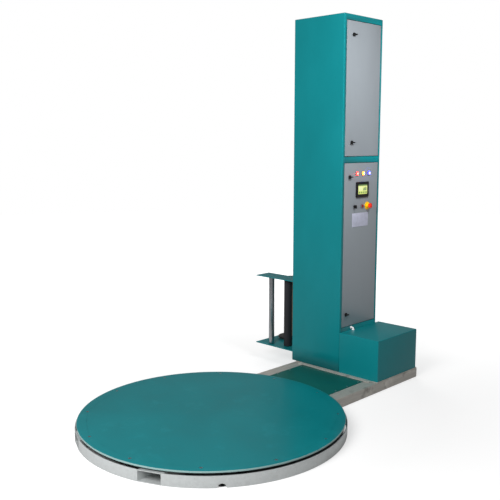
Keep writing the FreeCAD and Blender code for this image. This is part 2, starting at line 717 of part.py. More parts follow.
def selector_knob():
    x = mast_x0 + SELECTOR_X
    base = mast_y0 - 6.0 - SLIP
    stem = rod(point(x, base, BUTTON_ROW), Y, 8.0, 34.0)
    skirt = rod(point(x, base - 5.0, BUTTON_ROW), Y, 13.0, 5.0)
    grip = box(x - 4.0, x + 4.0, base - 18.0, base - 5.0, BUTTON_ROW - 12.5, BUTTON_ROW + 12.5)
    return fused([skirt, stem, grip])


def screen_back():
    x0 = mast_x0 + SCREEN_LEFT - BEZEL_SIDE + 10.0
    z0 = SCREEN_BOTTOM - BEZEL_FOOT + 10.0
    return x0, x0 + SCREEN_WIDTH + 2 * BEZEL_SIDE - 20.0, z0, z0 + SCREEN_HEIGHT + BEZEL_FOOT + BEZEL_SIDE - 20.0


def hmi_bezel():
    x0 = mast_x0 + SCREEN_LEFT
    x1 = x0 + SCREEN_WIDTH
    z1 = SCREEN_BOTTOM + SCREEN_HEIGHT
    front = box(x0 - BEZEL_SIDE, x1 + BEZEL_SIDE, mast_y0 - 10.0, mast_y0,
                SCREEN_BOTTOM - BEZEL_FOOT, z1 + BEZEL_SIDE)
    upright_edges = [edge for edge in front.Edges if edge.BoundBox.YLength > 9.0]
    front = front.makeFillet(6.0, upright_edges)
    bx0, bx1, bz0, bz1 = screen_back()
    back = box(bx0, bx1, mast_y0, mast_y0 + 40.0, bz0, bz1)
    window = box(x0 - SKIN, x1 + SKIN, mast_y0 - 10.0, mast_y0 - 5.0, SCREEN_BOTTOM - SKIN, z1 + SKIN)
    return fused([front, back]).cut(window)


def hmi_screen():
    x0 = mast_x0 + SCREEN_LEFT
    return box(x0, x0 + SCREEN_WIDTH, mast_y0 - 8.5, mast_y0 - 5.0, SCREEN_BOTTOM, SCREEN_BOTTOM + SCREEN_HEIGHT)


def name_plate():
    x0 = mast_x0 + NAME_PLATE_LEFT
    return box(x0, x0 + NAME_PLATE_WIDTH, mast_y0 - 1.5, mast_y0,
               NAME_PLATE_BOTTOM, NAME_PLATE_BOTTOM + NAME_PLATE_HEIGHT)


# ---- inside the mast ----
def backplate_y():
    return mast_y0 + 250.0


def control_backplate():
    x0 = mast_x0 + MAST_WALL
    x1 = mast_x1 - MAST_WALL
    return box(x0, x1, backplate_y(), backplate_y() + 3.0, LOWER_DOOR_BOTTOM + 25.0, lower_door_top - 22.0)


def control_gear():
    """Inverter, power supply, controller, relays, terminals and wiring ducts in front of the plate."""
    y = backplate_y()
    x = mast_x0
    pieces = [box(x + 60.0, x + 190.0, y - 130.0, y, 1120.0, 1310.0),
              box(x + 230.0, x + 360.0, y - 90.0, y, 1150.0, 1290.0),
              box(x + 60.0, x + 180.0, y - 75.0, y, 900.0, 1000.0)]
    right = MAST_WIDTH - 50.0
    for number in range(int((right - 200.0) / 28.0)):
        left = x + 200.0 + 28.0 * number
        pieces.append(box(left, left + 24.0, y - 70.0, y, 905.0, 995.0))
    for number in range(int((right - 60.0) / 20.0)):
        left = x + 60.0 + 20.0 * number
        pieces.append(box(left, left + 18.0, y - 45.0, y, 640.0, 700.0))
    for z in (560.0, 780.0, 1050.0, 1360.0):
        pieces.append(box(x + 50.0, x + right, y - 40.0, y, z, z + 40.0))
    return group(pieces)


def lift_bracket():
    """Two ears on the mast's floor plate and the fixed axle between them."""
    ears = [box(*sorted((slot_x + side * 12.0, slot_x + side * 20.0)), lift_y - 20.0, lift_y + 20.0,
                base_top, lift_low_z + 20.0) for side in (-1, 1)]
    foot = box(slot_x - 40.0, slot_x + 40.0, lift_y - 20.0, lift_y + 20.0, base_top, base_top + 6.0)
    axle = rod(point(slot_x - 20.0, lift_y, lift_low_z), X, LIFT_SHAFT_RADIUS, 40.0)
    return fused([*ears, foot, axle])


def lift_sprocket(z, bore):
    disc = sprocket_disc(DRIVE_TEETH, drive_pitch_r, SPROCKET_THICKNESS)
    disc.translate(point(0, 0, -SPROCKET_THICKNESS / 2))
    hub = upright(0, 0, LIFT_SHAFT_RADIUS + 12.0, -10.0, 10.0)
    wheel = fused([disc, hub])
    if bore:
        wheel = wheel.cut(upright(0, 0, LIFT_SHAFT_RADIUS + RUNNING, -10.0, 10.0))
    wheel.rotate(point(0, 0, 0), Y, 90.0)
    wheel.translate(point(slot_x, lift_y, z))
    return wheel


def lift_bottom_sprocket():
    return lift_sprocket(lift_low_z, True)


def lift_top_sprocket():
    shaft = rod(point(slot_x, lift_y, lift_high_z), X, LIFT_SHAFT_RADIUS, 80.0)
    return fused([lift_sprocket(lift_high_z, False), shaft])


def lift_gearbox():
    x0 = slot_x + 30.0
    z = lift_high_z
    body = box(x0, x0 + 100.0, lift_y - 50.0, lift_y + 50.0, z - 60.0, z + 60.0)
    foot = box(x0 + 100.0, mast_x1 - MAST_WALL, lift_y - 40.0, lift_y + 40.0, z - 50.0, z + 50.0)
    body = fused([body, foot])
    return body.cut(rod(point(x0, lift_y, z), X, LIFT_SHAFT_RADIUS + RUNNING, 51.0))


def lift_motor():
    x = slot_x + 80.0
    z = lift_high_z
    y1 = lift_y - 50.0
    return fused([rod(point(x, y1 - 10.0, z), Y, 58.0, 10.0), rod(point(x, y1 - 200.0, z), Y, 52.0, 190.0),
                  box(x - 35.0, x + 35.0, y1 - 140.0, y1 - 50.0, z + 40.0, z + 72.0)])


def lift_chain():
    band = chain_band(lift_high_z - lift_low_z, drive_pitch_r, drive_pitch_r)
    band.rotate(point(0, 0, 0), Y, -90.0)
    band.translate(point(slot_x, lift_y, lift_low_z))
    return band


# ---- film carriage ----
def carriage_frame():
    """Trolley plate inside the mast, four arms through the slot, and two trays on an outer plate."""
    half = GUIDE_RAIL_OFFSET + GUIDE_RAIL_SIZE / 2
    trolley_back = trolley_y + TROLLEY_PLATE
    outer_y = tray_y0 + CARRIAGE_SHEET
    tray_x1 = tray_x0 + CARRIAGE_WIDTH
    tray_y1 = tray_y0 + CARRIAGE_REACH
    pieces = [box(slot_x - half, slot_x + half, trolley_y, trolley_back,
                  TROLLEY_BOTTOM, TROLLEY_BOTTOM + TROLLEY_HEIGHT),
              box(tray_x0, tray_x1, tray_y0, outer_y, CARRIAGE_BOTTOM, carriage_top),
              box(tray_x0, tray_x1, tray_y0, tray_y1, CARRIAGE_BOTTOM, tray_floor),
              box(tray_x0, tray_x0 + TOP_TRAY_WIDTH, tray_y0, tray_y1, carriage_top - CARRIAGE_SHEET, carriage_top)]
    for z in (TROLLEY_BOTTOM + 38.0, TROLLEY_BOTTOM + TROLLEY_HEIGHT - 118.0):
        for low, high in ((-50.0, -20.0), (20.0, 50.0)):
            pieces.append(box(slot_x + low, slot_x + high, trolley_back, tray_y0, z, z + 80.0))
    axle_top = carriage_top - CARRIAGE_SHEET
    pieces.append(upright(tension_x, tension_y, CARRIAGE_AXLE_RADIUS, tray_floor, axle_top))
    pieces.append(upright(guide_x, guide_y, CARRIAGE_AXLE_RADIUS, tray_floor, axle_top))
    pieces.append(upright(mandrel_x, mandrel_y, CARRIAGE_AXLE_RADIUS + 4.0, tray_floor,
                          mandrel_foot + MANDREL_LENGTH - 20.0))
    pieces.append(upright(mandrel_x, mandrel_y, 22.0, tray_floor, mandrel_foot - SLIP))
    chain_face = lift_y + drive_pitch_r + tooth_rise
    pieces.append(box(slot_x - 12.0, slot_x + 12.0, trolley_back, chain_face - GLIDE_GAP,
                      TROLLEY_BOTTOM + 180.0, TROLLEY_BOTTOM + 220.0))
    return fused(pieces)


def glide_blocks():
    """Sliding blocks at the trolley's corners, each with a lip beside its rail."""
    blocks = []
    rail_face = mast_y1 - MAST_WALL - GUIDE_RAIL_SIZE
    for side in (-1, 1):
        inner = GUIDE_RAIL_OFFSET - GUIDE_RAIL_SIZE / 2 - GLIDE_GAP
        for z in (TROLLEY_BOTTOM, TROLLEY_BOTTOM + TROLLEY_HEIGHT - 60.0):
            pad = box(*sorted((slot_x + side * (inner - 14.0), slot_x + side * (inner + 26.0))),
                      trolley_y + TROLLEY_PLATE, rail_face - GLIDE_GAP, z, z + 60.0)
            lip = box(*sorted((slot_x + side * (inner - 14.0), slot_x + side * inner)),
                      trolley_y + TROLLEY_PLATE, rail_face + GUIDE_RAIL_SIZE - 8.0, z, z + 60.0)
            blocks.append(fused([pad, lip]))
    return group(blocks)


def film_mandrel():
    """Core tube with a foot flange and a closed top, turning on the fixed post."""
    foot = mandrel_foot
    top = foot + MANDREL_LENGTH
    bore = CARRIAGE_AXLE_RADIUS + 4.0 + RUNNING
    shell = fused([upright(mandrel_x, mandrel_y, MANDREL_FLANGE_RADIUS, foot, foot + 8.0),
                   upright(mandrel_x, mandrel_y, MANDREL_RADIUS, foot, top + 8.0)])
    hollow = upright(mandrel_x, mandrel_y, MANDREL_RADIUS - 5.0, foot + 30.0, top - 50.0)
    hole = upright(mandrel_x, mandrel_y, bore, foot, top - 19.0)
    return shell.cut(hollow).cut(hole)


def carriage_roller(x, y, radius):
    z0 = tray_floor + 2.0
    z1 = carriage_top - CARRIAGE_SHEET - 2.0
    roller = upright(x, y, radius, z0, z1)
    return roller.cut(upright(x, y, CARRIAGE_AXLE_RADIUS + RUNNING, z0, z1))


def tension_roller():
    return carriage_roller(tension_x, tension_y, TENSION_ROLLER_RADIUS)


def guide_roller():
    return carriage_roller(guide_x, guide_y, GUIDE_ROLLER_RADIUS)


# ---- write every piece ----
NODES = {maker.__name__: maker for maker in (
    base_ring, levelling_feet, fork_tubes, base_spokes, roller_brackets, centre_post, centre_bearing,
    turntable_hub, turntable_sprocket, turntable_plate, roller_track, plate_screws,
    arm_rails, arm_cover, mast_base_plate,
    drive_cover, drive_gearbox, drive_motor, drive_sprocket, drive_chain, cable_gland,
    mast_shell, guide_rails, hinge_brackets, upper_door, lower_door,
    panel_collars, estop_collar, estop_button, push_button, selector_knob,
    hmi_bezel, hmi_screen, name_plate,
    control_backplate, control_gear, lift_bracket, lift_bottom_sprocket, lift_top_sprocket,
    lift_gearbox, lift_motor, lift_chain,
    carriage_frame, glide_blocks, film_mandrel, tension_roller, guide_roller,
)}
for roller_number in range(1, SUPPORT_ROLLERS + 1):
    NODES[f"support_roller_{roller_number}"] = lambda number=roller_number: support_roller(number)
for latch_name in LATCHES:
    NODES[latch_name] = lambda name=latch_name: latch(name)
for lamp_number, colour in enumerate(("red", "yellow", "blue")):
    NODES[f"{colour}_lamp"] = lambda number=lamp_number: lamp(number)

os.makedirs("parts", exist_ok=True)
for node, maker in NODES.items():
    shape = maker()
    if not shape.isValid():
        raise ValueError(f"{node} is not a valid shape")
    shape.exportStep(os.path.join("parts", f"{node}.step"))
    print(node, len(shape.Solids), "solids", round(shape.Volume / 1000.0), "cm3")
print(len(NODES), "nodes")
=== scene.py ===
import math

import bmesh
import bpy
import numpy as np
from bpy.props import FloatProperty, FloatVectorProperty, IntProperty, PointerProperty
from mathutils import Matrix, Vector


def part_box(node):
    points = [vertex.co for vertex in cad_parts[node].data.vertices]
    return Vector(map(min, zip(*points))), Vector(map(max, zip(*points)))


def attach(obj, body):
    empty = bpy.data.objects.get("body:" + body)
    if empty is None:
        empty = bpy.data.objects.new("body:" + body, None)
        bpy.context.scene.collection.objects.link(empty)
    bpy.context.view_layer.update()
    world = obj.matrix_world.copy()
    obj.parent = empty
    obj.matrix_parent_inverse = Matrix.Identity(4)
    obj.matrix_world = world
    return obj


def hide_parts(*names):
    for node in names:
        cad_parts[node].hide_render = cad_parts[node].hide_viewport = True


bl_info = {
    "name": "Turntable Pallet Wrapper",
    "version": (1, 0, 0),
    "blender": (4, 5, 0),
    "location": "View3D > Sidebar > Wrapper",
    "description": "Finished surfaces for a turntable pallet wrapper, built round its mechanical frame",
    "category": "Object",
}

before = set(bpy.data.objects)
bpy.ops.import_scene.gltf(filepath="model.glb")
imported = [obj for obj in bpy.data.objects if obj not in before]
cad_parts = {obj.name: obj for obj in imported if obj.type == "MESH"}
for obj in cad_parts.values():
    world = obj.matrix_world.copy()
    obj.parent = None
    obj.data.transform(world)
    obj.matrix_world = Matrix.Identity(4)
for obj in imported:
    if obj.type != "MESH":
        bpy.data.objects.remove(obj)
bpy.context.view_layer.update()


def corners(node):
    """Lowest and highest corner of a frame node, as two arrays in metres."""
    low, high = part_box(node)
    return np.array(low, float), np.array(high, float)


def centred(node, axes=(0, 2)):
    """A node's two corners, then the middle of its box along each axis named."""
    low, high = corners(node)
    return low, high, *((low[k] + high[k]) / 2 for k in axes)


PLATE_LOW, PLATE_HIGH = corners("turntable_plate")
RING_LOW, RING_HIGH = corners("base_ring")
FORK_HIGH = corners("fork_tubes")[1]
RAILS_HIGH = corners("arm_rails")[1]
COVER_LOW, COVER_HIGH = corners("arm_cover")
BASE_LOW, BASE_HIGH = corners("mast_base_plate")
DRIVE_LOW, DRIVE_HIGH = corners("drive_cover")
MAST_LOW, MAST_HIGH = corners("mast_shell")
UPPER_LOW, UPPER_HIGH = corners("upper_door")
LOWER_LOW, LOWER_HIGH = corners("lower_door")
FACE_Y = float(MAST_LOW[1])
RING_RADIUS = -float(RING_LOW[0])
NOTCH_AZIMUTHS = [math.radians(a) for a in (-129.3, -45.0, 45.0, 129.3)]
POCKET_WIDTH = 0.133
PLATE_SCREWS, SCREW_INSET, FIRST_SCREW = 12, 0.045, math.radians(13.0)
SLOT_HALF, SLOT_BOTTOM, SLOT_TOP = 0.065, 0.200, 2.470
CHAIN_PITCH, TABLE_TEETH, SMALL_TEETH = 0.015875, 95, 19
BULB_CORE = 0.0015          # radius of a lamp's pale middle
HINGE_INSET, DOOR_SHEET, DOOR_DEPTH = 0.007, 0.002, 0.015
FLOOR_CENTRE, FLOOR_RADIUS = (0.6, 0.0), 14.0
STOP_LAP, STOP_SETBACK, STOP_SHEET = 0.012, 0.0155, 0.003


# ---- user settings -------------------------------------------------------------------------
def length(name, description, value, low=0.0, high=4.0):
    return FloatProperty(name=name, description=description, default=float(value), min=low, max=high,
                         subtype="DISTANCE", unit="LENGTH")


def tint(name, description, red, green, blue):
    """Colour setting; the three numbers are display values from 0 to 255, stored as linear light."""
    return FloatVectorProperty(name=name, description=description, default=linear(red, green, blue), size=3,
                               subtype="COLOR", min=0.0, max=1.0)


def linear(red, green, blue):
    """Display values turned to linear light: divided by 12.92 near black, else raised to the power 2.4."""
    values = np.array((red, green, blue), float) / 255.0
    return tuple(np.where(values <= 0.04045, values / 12.92, ((values + 0.055) / 1.055) ** 2.4).tolist())


def amount(name, description, value, low=0.0, high=5.0, **more):
    return FloatProperty(name=name, description=description, default=value, min=low, max=high, **more)


class WrapperSizes(bpy.types.PropertyGroup):
    """Small sizes of the finished surfaces; the large ones come from the frame."""
    plate_edge: length("Plate Edge", "Radius on the turntable plate's top edge", 0.0016)
    ring_edge: length("Ring Edge", "Radius on the rolled ring's edges", 0.0009)
    ring_wall: length("Ring Wall", "Thickness of the rolled ring", 0.006)
    notch_radius: length("Notch Radius", "Radius of the half-round openings over the levelling feet", 0.024)
    pocket_wall: length("Pocket Wall", "Wall of a fork pocket", 0.004)
    rail_edge: length("Rail Edge", "Corner radius of an arm rail", 0.007)
    mast_bend: length("Mast Bend", "Bend radius of the mast's upright edges", 0.005)
    sheet: length("Mast Sheet", "Thickness of the mast's sheet", 0.003)
    door_gap: length("Door Gap", "Gap between a door and its opening", 0.004)
    door_corner: length("Door Corner", "Corner radius of a door", 0.004)
    cover_bend: length("Cover Bend", "Bend radius of the drive cover", 0.005)
    round_steps: IntProperty(name="Round Steps", description="Facets along each rounded edge", default=4,
                             min=2, max=12)


class WrapperColours(bpy.types.PropertyGroup):
    """Finishes of the painted, plated and moulded pieces."""
    teal: tint("Mast Teal", "Powder coat of the mast and the drive cover", 6, 116, 122)
    plate_teal: tint("Plate Teal", "Powder coat of the turntable plate", 5, 113, 119)
    door: tint("Door Grey", "Satin paint of the two doors", 142, 149, 155)
    ring: tint("Ring Steel", "Galvanised ring and pockets", 208, 212, 212)
    arm: tint("Arm Steel", "Worn steel of the arm rails", 186, 182, 175)
    cover: tint("Arm Cover", "Dark paint of the plate between the rails", 14, 84, 78)
    black: tint("Black Plastic", "Latches, screen surround and selector", 14, 14, 15)
    red_lens: tint("Red Lens", "Left signal lamp", 255, 40, 24)
    yellow_lens: tint("Yellow Lens", "Middle signal lamp", 255, 172, 52)
    blue_lens: tint("Blue Lens", "Right signal lamp", 54, 50, 255)


class WrapperStage(bpy.types.PropertyGroup):
    """Floor, lights and camera."""
    camera_place: FloatVectorProperty(name="Camera Place", description="Where the camera stands", size=3,
                                      default=(-2.9725, -3.238, 1.7591), subtype="TRANSLATION", unit="LENGTH")
    heading: FloatProperty(name="Heading", description="Camera heading, from +X towards +Y", default=0.77476,
                           subtype="ANGLE", unit="ROTATION")
    pitch: FloatProperty(name="Pitch", description="Camera pitch above level", default=-0.14667,
                         subtype="ANGLE", unit="ROTATION")
    lens: amount("Lens", "Focal length in millimetres", 53.08, 10.0, 200.0)
    key_power: amount("Key Light", "Power of the large soft light in watts", 184.0, high=5000.0)
    shine_power: amount("Key Shine", "Power of the same light as the pieces mirror it, in watts", 26.0,
                        high=5000.0)
    door_power: amount("Door Light", "Power of the small light above the doors in watts", 9.5, high=5000.0)
    back_power: amount("Back Light", "Power of the large soft light behind the mast in watts", 70.0,
                       high=5000.0)
    sky: amount("Sky", "Strength of the even light all round", 0.22)
    floor_glow: amount("Floor Glow", "Light that the far floor gives of itself", 1.0)


def sizes():
    return bpy.context.scene.wrapper_sizes


def colours():
    return bpy.context.scene.wrapper_colours


# ---- surfaces ------------------------------------------------------------------------------
def rounded(points, radius, steps=5):
    """Polygon with every corner replaced by an arc.

    The arc's centre lies on the corner's bisector at radius / sin(half angle); its points are the
    start vector turned towards the end vector, sin((1-s)w) and sin(sw) over sin(w) as weights.
    """
    points = np.asarray(points, float)
    radius = np.broadcast_to(np.asarray(radius, float), len(points))[:, None]
    back = np.roll(points, 1, 0) - points
    ahead = np.roll(points, -1, 0) - points
    back /= np.linalg.norm(back, axis=1, keepdims=True)
    ahead /= np.linalg.norm(ahead, axis=1, keepdims=True)
    half = 0.5 * np.arccos(np.clip((back * ahead).sum(1, keepdims=True), -1, 1))
    middle = back + ahead
    middle /= np.linalg.norm(middle, axis=1, keepdims=True)
    centre = points + middle * radius / np.sin(half)
    start = points + back * radius / np.tan(half) - centre
    end = points + ahead * radius / np.tan(half) - centre
    sweep = (math.pi - 2 * half)[:, None]
    s = np.linspace(0, 1, steps + 1)[None, :, None]
    arcs = (np.sin((1 - s) * sweep) * start[:, None] + np.sin(s * sweep) * end[:, None]) / np.sin(sweep)
    return (centre[:, None] + arcs).reshape(-1, 2)


def rectangle(x0, x1, y0, y1, radius, steps=5):
    return rounded([(x0, y0), (x1, y0), (x1, y1), (x0, y1)], radius, steps)


def circle(x, y, radius, count=48):
    angle = np.arange(count) * 2 * math.pi / count
    return np.stack([x + radius * np.cos(angle), y + radius * np.sin(angle)], 1)


def narrowed(outline, insets):
    """Outline moved inwards by each inset: every point goes along the sum of its two edge normals over
    1 + their dot."""
    edge = np.roll(outline, -1, 0) - outline
    edge /= np.maximum(np.linalg.norm(edge, axis=1, keepdims=True), 1e-12)
    after = np.stack([-edge[:, 1], edge[:, 0]], 1)
    before = np.roll(after, 1, 0)
    inward = (after + before) / (1 + (after * before).sum(1, keepdims=True))
    return outline[None] + np.asarray(insets, float)[:, None, None] * inward[None]


def stood(outline, heights, axis="Z"):
    """Flat loops given a height each; axis says which way the height runs: up for Z, or along Y."""
    loops = np.broadcast_to(outline, (len(heights),) + outline.shape[-2:])
    height = np.broadcast_to(np.asarray(heights, float)[:, None], loops.shape[:2])
    u, v = loops[..., 0], loops[..., 1]
    return np.stack((u, v, height) if axis == "Z" else (u, height, v), -1)


def skin(loops, around=False, caps=True, keep=None):
    """Four-sided faces between neighbouring loops, point k to k + 1 and loop i to i + 1.

    around joins the last loop to the first, caps closes both ends, keep marks the faces that stay.
    """
    rows, count = loops.shape[:2]
    i, k = np.meshgrid(np.arange(rows if around else rows - 1), np.arange(count), indexing="ij")
    j, l = (i + 1) % rows, (k + 1) % count
    faces = np.stack([i * count + k, i * count + l, j * count + l, j * count + k], -1)
    faces = faces[keep] if keep is not None else faces.reshape(-1, 4)
    faces = faces.tolist()
    if caps and not around:
        faces += [list(range(count))[::-1], list(range((rows - 1) * count, rows * count))]
    return loops.reshape(-1, 3), faces


def quarter(steps):
    return np.linspace(0, math.pi / 2, steps + 1)


def slab(outline, low, high, edge=0.0006, axis="Z", steps=3):
    """Solid between two heights with its rims rounded: inset and height follow a quarter circle at
    each end."""
    t = quarter(steps)
    insets = np.concatenate([edge * (1 - np.sin(t)), edge * (1 - np.cos(t))])
    heights = np.concatenate([low + edge * (1 - np.cos(t)), high - edge * (1 - np.sin(t))])
    return skin(stood(narrowed(outline, insets), heights, axis))


def pressed(outline, rim, face, wall, bend, steps=4):
    """Sheet bent to a box: from the face's middle round the bend to the rim, and back inside at the
    wall's thickness."""
    t, way = quarter(steps), math.copysign(1.0, rim - face)
    inner = max(bend - wall, 0.0004)
    insets = np.concatenate([bend * (1 - np.sin(t)), [0, wall], wall + inner * (1 - np.cos(t))])
    heights = np.concatenate([face + way * bend * (1 - np.cos(t)), [rim, rim],
                              face + way * (wall + inner * (1 - np.sin(t)))])
    return skin(stood(narrowed(outline, insets), heights))


def turned(profile, centre, axis="Z", count=48, around=False):
    """Surface of revolution: each profile point (radius, height) becomes a circle round the axis
    through centre."""
    profile = np.asarray(profile, float)
    angle = np.arange(count) * 2 * math.pi / count
    ring = np.stack([np.cos(angle), np.sin(angle)], 1)
    loops = profile[:, 0][:, None, None] * ring[None] + np.asarray(centre, float)[None, None]
    return skin(stood(loops, profile[:, 1], axis), around, caps=not around)


def softened(profile, radius, steps=4):
    """Open profile with its corners rounded; the first and last points stay."""
    profile = np.asarray(profile, float)
    arcs = rounded(profile, radius, steps).reshape(len(profile), steps + 1, 2)
    return np.concatenate([profile[:1], arcs[1:-1].reshape(-1, 2), profile[-1:]])


def collar(centre, inner, outer, low, high, edge, axis="Z", count=48):
    """Washer: a rounded rectangle of radius against height carried round the centre."""
    outline = rectangle(inner, outer, min(low, high), max(low, high), edge, 3)
    return turned(outline, centre, axis, count, around=True)


def frame_wall(outline, wall, low, high):
    """Wall along Y that follows an outline, open at both ends."""
    loops = narrowed(outline, [0, 0, wall, wall])
    return skin(stood(loops, [low, high, high, low], "Y"), around=True)


def knob(profile, radii, place, steps=3, count=48):
    """Softened profile of radius against Y, turned round an axis along Y."""
    return turned(softened(profile, radii, steps), place, "Y", count)


def prisms(count, sides, first=0):
    """Faces of so many closed prisms: each is two layers of sides points, numbered on from first."""
    base = first + np.arange(count)[:, None, None] * 2 * sides
    k = np.arange(sides)
    walls = np.stack([k, (k + 1) % sides, (k + 1) % sides + sides, k + sides], 1)
    ends = np.stack([k[::-1], k + sides])
    return (base + walls).reshape(-1, 4).tolist() + (base + ends).reshape(-1, sides).tolist()


def spun(part, angle, centre=(0.0, 0.0)):
    """Part turned about a vertical line: x and y take the cosine and sine of the angle."""
    points, faces = part
    c, s = math.cos(angle), math.sin(angle)
    flat = (points[:, :2] - centre) @ np.array([[c, s], [-s, c]]) + centre
    return np.column_stack([flat, points[:, 2]]), faces


def piece(name, parts, body, slot, stands_for=(), paint=None, thickness=0.0):
    """Joins the parts in one mesh: doubles merged, slivers dissolved, normals outward, edges over 35
    degrees sharp.

    Its finish is the slot's unless paint names another.
    """
    whole = bmesh.new()
    for points, faces in parts:
        sheet = bpy.data.meshes.new(name)
        sheet.from_pydata(points.tolist(), [], faces)
        part = bmesh.new()
        part.from_mesh(sheet)
        bmesh.ops.remove_doubles(part, verts=part.verts, dist=2e-6)
        bmesh.ops.dissolve_degenerate(part, edges=part.edges, dist=1e-6)
        bmesh.ops.recalc_face_normals(part, faces=part.faces)
        part.to_mesh(sheet)
        part.free()
        whole.from_mesh(sheet)
        bpy.data.meshes.remove(sheet)
    mesh = bpy.data.meshes.new(name)
    whole.to_mesh(mesh)
    whole.free()
    if not len(mesh.polygons):
        raise RuntimeError(f"{name} came out with no faces")
    mesh.shade_smooth()
    mesh.set_sharp_from_angle(angle=math.radians(35.0))
    mesh.materials.append(finish(paint or slot))
    thing = bpy.data.objects.new(name, mesh)
    bpy.context.scene.collection.objects.link(thing)
    if thickness:
        wall = thing.modifiers.new("Sheet", "SOLIDIFY")
        wall.thickness, wall.offset, wall.use_even_offset = thickness, -1.0, True
    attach(thing, body)
    if stands_for:
        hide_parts(*stands_for)
    return thing


# ---- materials -----------------------------------------------------------------------------
def shade(colour, times):
    """Colour made darker or lighter, with no channel over 1."""
    return tuple(min(1.0, times * c) for c in colour)


class Finish:
    """Small builder for a node material on Object coordinates."""

    def __init__(self, name, colour, rough, metal=0.0, coat=0.0, coat_rough=0.1, specular=0.5):
        self.material = bpy.data.materials.new(name)
        self.material.use_nodes = True
        self.tree = self.material.node_tree
        self.shader = self.tree.nodes["Principled BSDF"]
        self.colour, self.rough = tuple(colour), rough
        for socket, value in (("Base Color", (*self.colour, 1)), ("Roughness", rough), ("Metallic", metal),
                              ("Coat Weight", coat), ("Coat Roughness", coat_rough),
                              ("Specular IOR Level", specular)):
            self.shader.inputs[socket].default_value = value
        self.place = self.tree.nodes.new("ShaderNodeTexCoord").outputs["Object"]
        self.paint = self.normal = None

    def add(self, kind, sockets=None, **settings):
        """New node with its settings; sockets gives its inputs a value or a link each."""
        made = self.tree.nodes.new(kind)
        for key, value in settings.items():
            setattr(made, key, value)
        for key, value in (sockets or {}).items():
            if isinstance(value, bpy.types.NodeSocket):
                self.link(value, made.inputs[key])
            else:
                made.inputs[key].default_value = value
        return made

    def link(self, source, target):
        self.tree.links.new(source, target)

    def stretched(self, scale):
        return self.add("ShaderNodeMapping", {"Scale": scale, "Vector": self.place}).outputs["Vector"]

    def noise(self, scale, detail=4.0, stretch=None, rough=0.55):
        place = self.stretched(stretch) if stretch else self.place
        return self.add("ShaderNodeTexNoise", {"Scale": scale, "Detail": detail, "Roughness": rough,
                                               "Vector": place}).outputs["Fac"]

    def cells(self, scale):
        return self.add("ShaderNodeTexVoronoi", {"Scale": scale, "Vector": self.place}, feature="F1")

    def spread(self, value, low, high, to_low=0.0, to_high=1.0):
        sockets = {"From Min": low, "From Max": high, "To Min": to_low, "To Max": to_high, "Value": value}
        return self.add("ShaderNodeMapRange", sockets, clamp=True).outputs["Result"]

    def maths(self, operation, first, second):
        return self.add("ShaderNodeMath", {0: first, 1: second}, operation=operation).outputs[0]

    def axis(self, letter):
        return self.add("ShaderNodeSeparateXYZ", {0: self.place}).outputs[letter]

    def reach(self, first, second, centre=(0.0, 0.0)):
        """Distance from a line along the third axis: the root of the two offsets squared and added."""
        offsets = [self.maths("SUBTRACT", self.axis(letter), float(middle))
                   for letter, middle in zip((first, second), centre)]
        return self.maths("SQRT", self.maths("ADD", *(self.maths("MULTIPLY", d, d) for d in offsets)), 0.0)

    def mixed(self, mask, base, colour):
        """Colour over a base, which is a colour or a socket, as much as the mask says."""
        base = (*base, 1) if isinstance(base, tuple) else base
        return self.add("ShaderNodeMix", {0: mask, 6: base, 7: (*colour, 1)}, data_type="RGBA").outputs[2]

    def tinted(self, mask, colour):
        """Lays a colour over what is there, as much as the mask says."""
        self.paint = self.mixed(mask, self.colour if self.paint is None else self.paint, colour)
        self.link(self.paint, self.shader.inputs["Base Color"])
        return self

    def spotted(self, scale, detail, low, high, most, colour, stretch=None):
        """Spots of a colour where a noise passes low, in full strength from high."""
        return self.tinted(self.spread(self.noise(scale, detail, stretch), low, high, 0.0, most), colour)

    def uneven(self, pattern, low, high):
        """Roughness from low to high as the pattern goes from 0.3 to 0.7."""
        self.link(self.spread(pattern, 0.3, 0.7, low, high), self.shader.inputs["Roughness"])

    def varied(self, amount, scale, stretch=None, detail=5.0):
        """Patches a little darker and lighter than the base."""
        value = self.noise(scale, detail, stretch)
        light = tuple(min(1.0, c * (1 + amount) + 0.02 * amount) for c in self.colour)
        self.tinted(self.spread(value, 0.52, 0.34), shade(self.colour, 1 - amount))
        self.tinted(self.spread(value, 0.50, 0.70), light)
        self.uneven(value, max(0.03, self.rough - 0.5 * amount), self.rough + 0.5 * amount)
        return self

    def bumped(self, height, strength, distance):
        sockets = {"Strength": strength, "Distance": distance, "Height": height}
        if self.normal is not None:
            sockets["Normal"] = self.normal
        self.normal = self.add("ShaderNodeBump", sockets).outputs["Normal"]
        self.link(self.normal, self.shader.inputs["Normal"])
        return self

    def glowing(self, strength, light):
        """Gives off the light that a socket holds."""
        self.shader.inputs["Emission Strength"].default_value = strength
        self.link(light, self.shader.inputs["Emission Color"])
        return self


def powder_coat(name, colour, rough=0.38, peel=420.0):
    """Even powder coat: faint patches, fine orange peel and a thin gloss."""
    coat = Finish(name, colour, rough, coat=0.10, coat_rough=0.18, specular=0.25)
    coat.varied(0.07, 2.3, stretch=(1.0, 1.0, 0.45))
    coat.spotted(38.0, 6.0, 0.63, 0.78, 0.18, shade(colour, 0.6))
    return coat.bumped(coat.noise(peel, 2.0), 0.10, 0.0006)


def satin_paint(name, colour):
    """Satin paint on flat sheet: hardly any peel, soft large patches, faint wipe marks."""
    coat = Finish(name, colour, 0.36, metal=0.12, coat=0.25, coat_rough=0.22)
    coat.varied(0.05, 1.4, stretch=(1.6, 1.6, 0.5))
    coat.spotted(9.0, 8.0, 0.60, 0.74, 0.20, shade(colour, 1.14), (1.0, 1.0, 6.0))
    coat.bumped(coat.noise(650.0, 1.5), 0.05, 0.0004)
    return coat.bumped(coat.noise(3.0, 2.0), 0.10, 0.002)


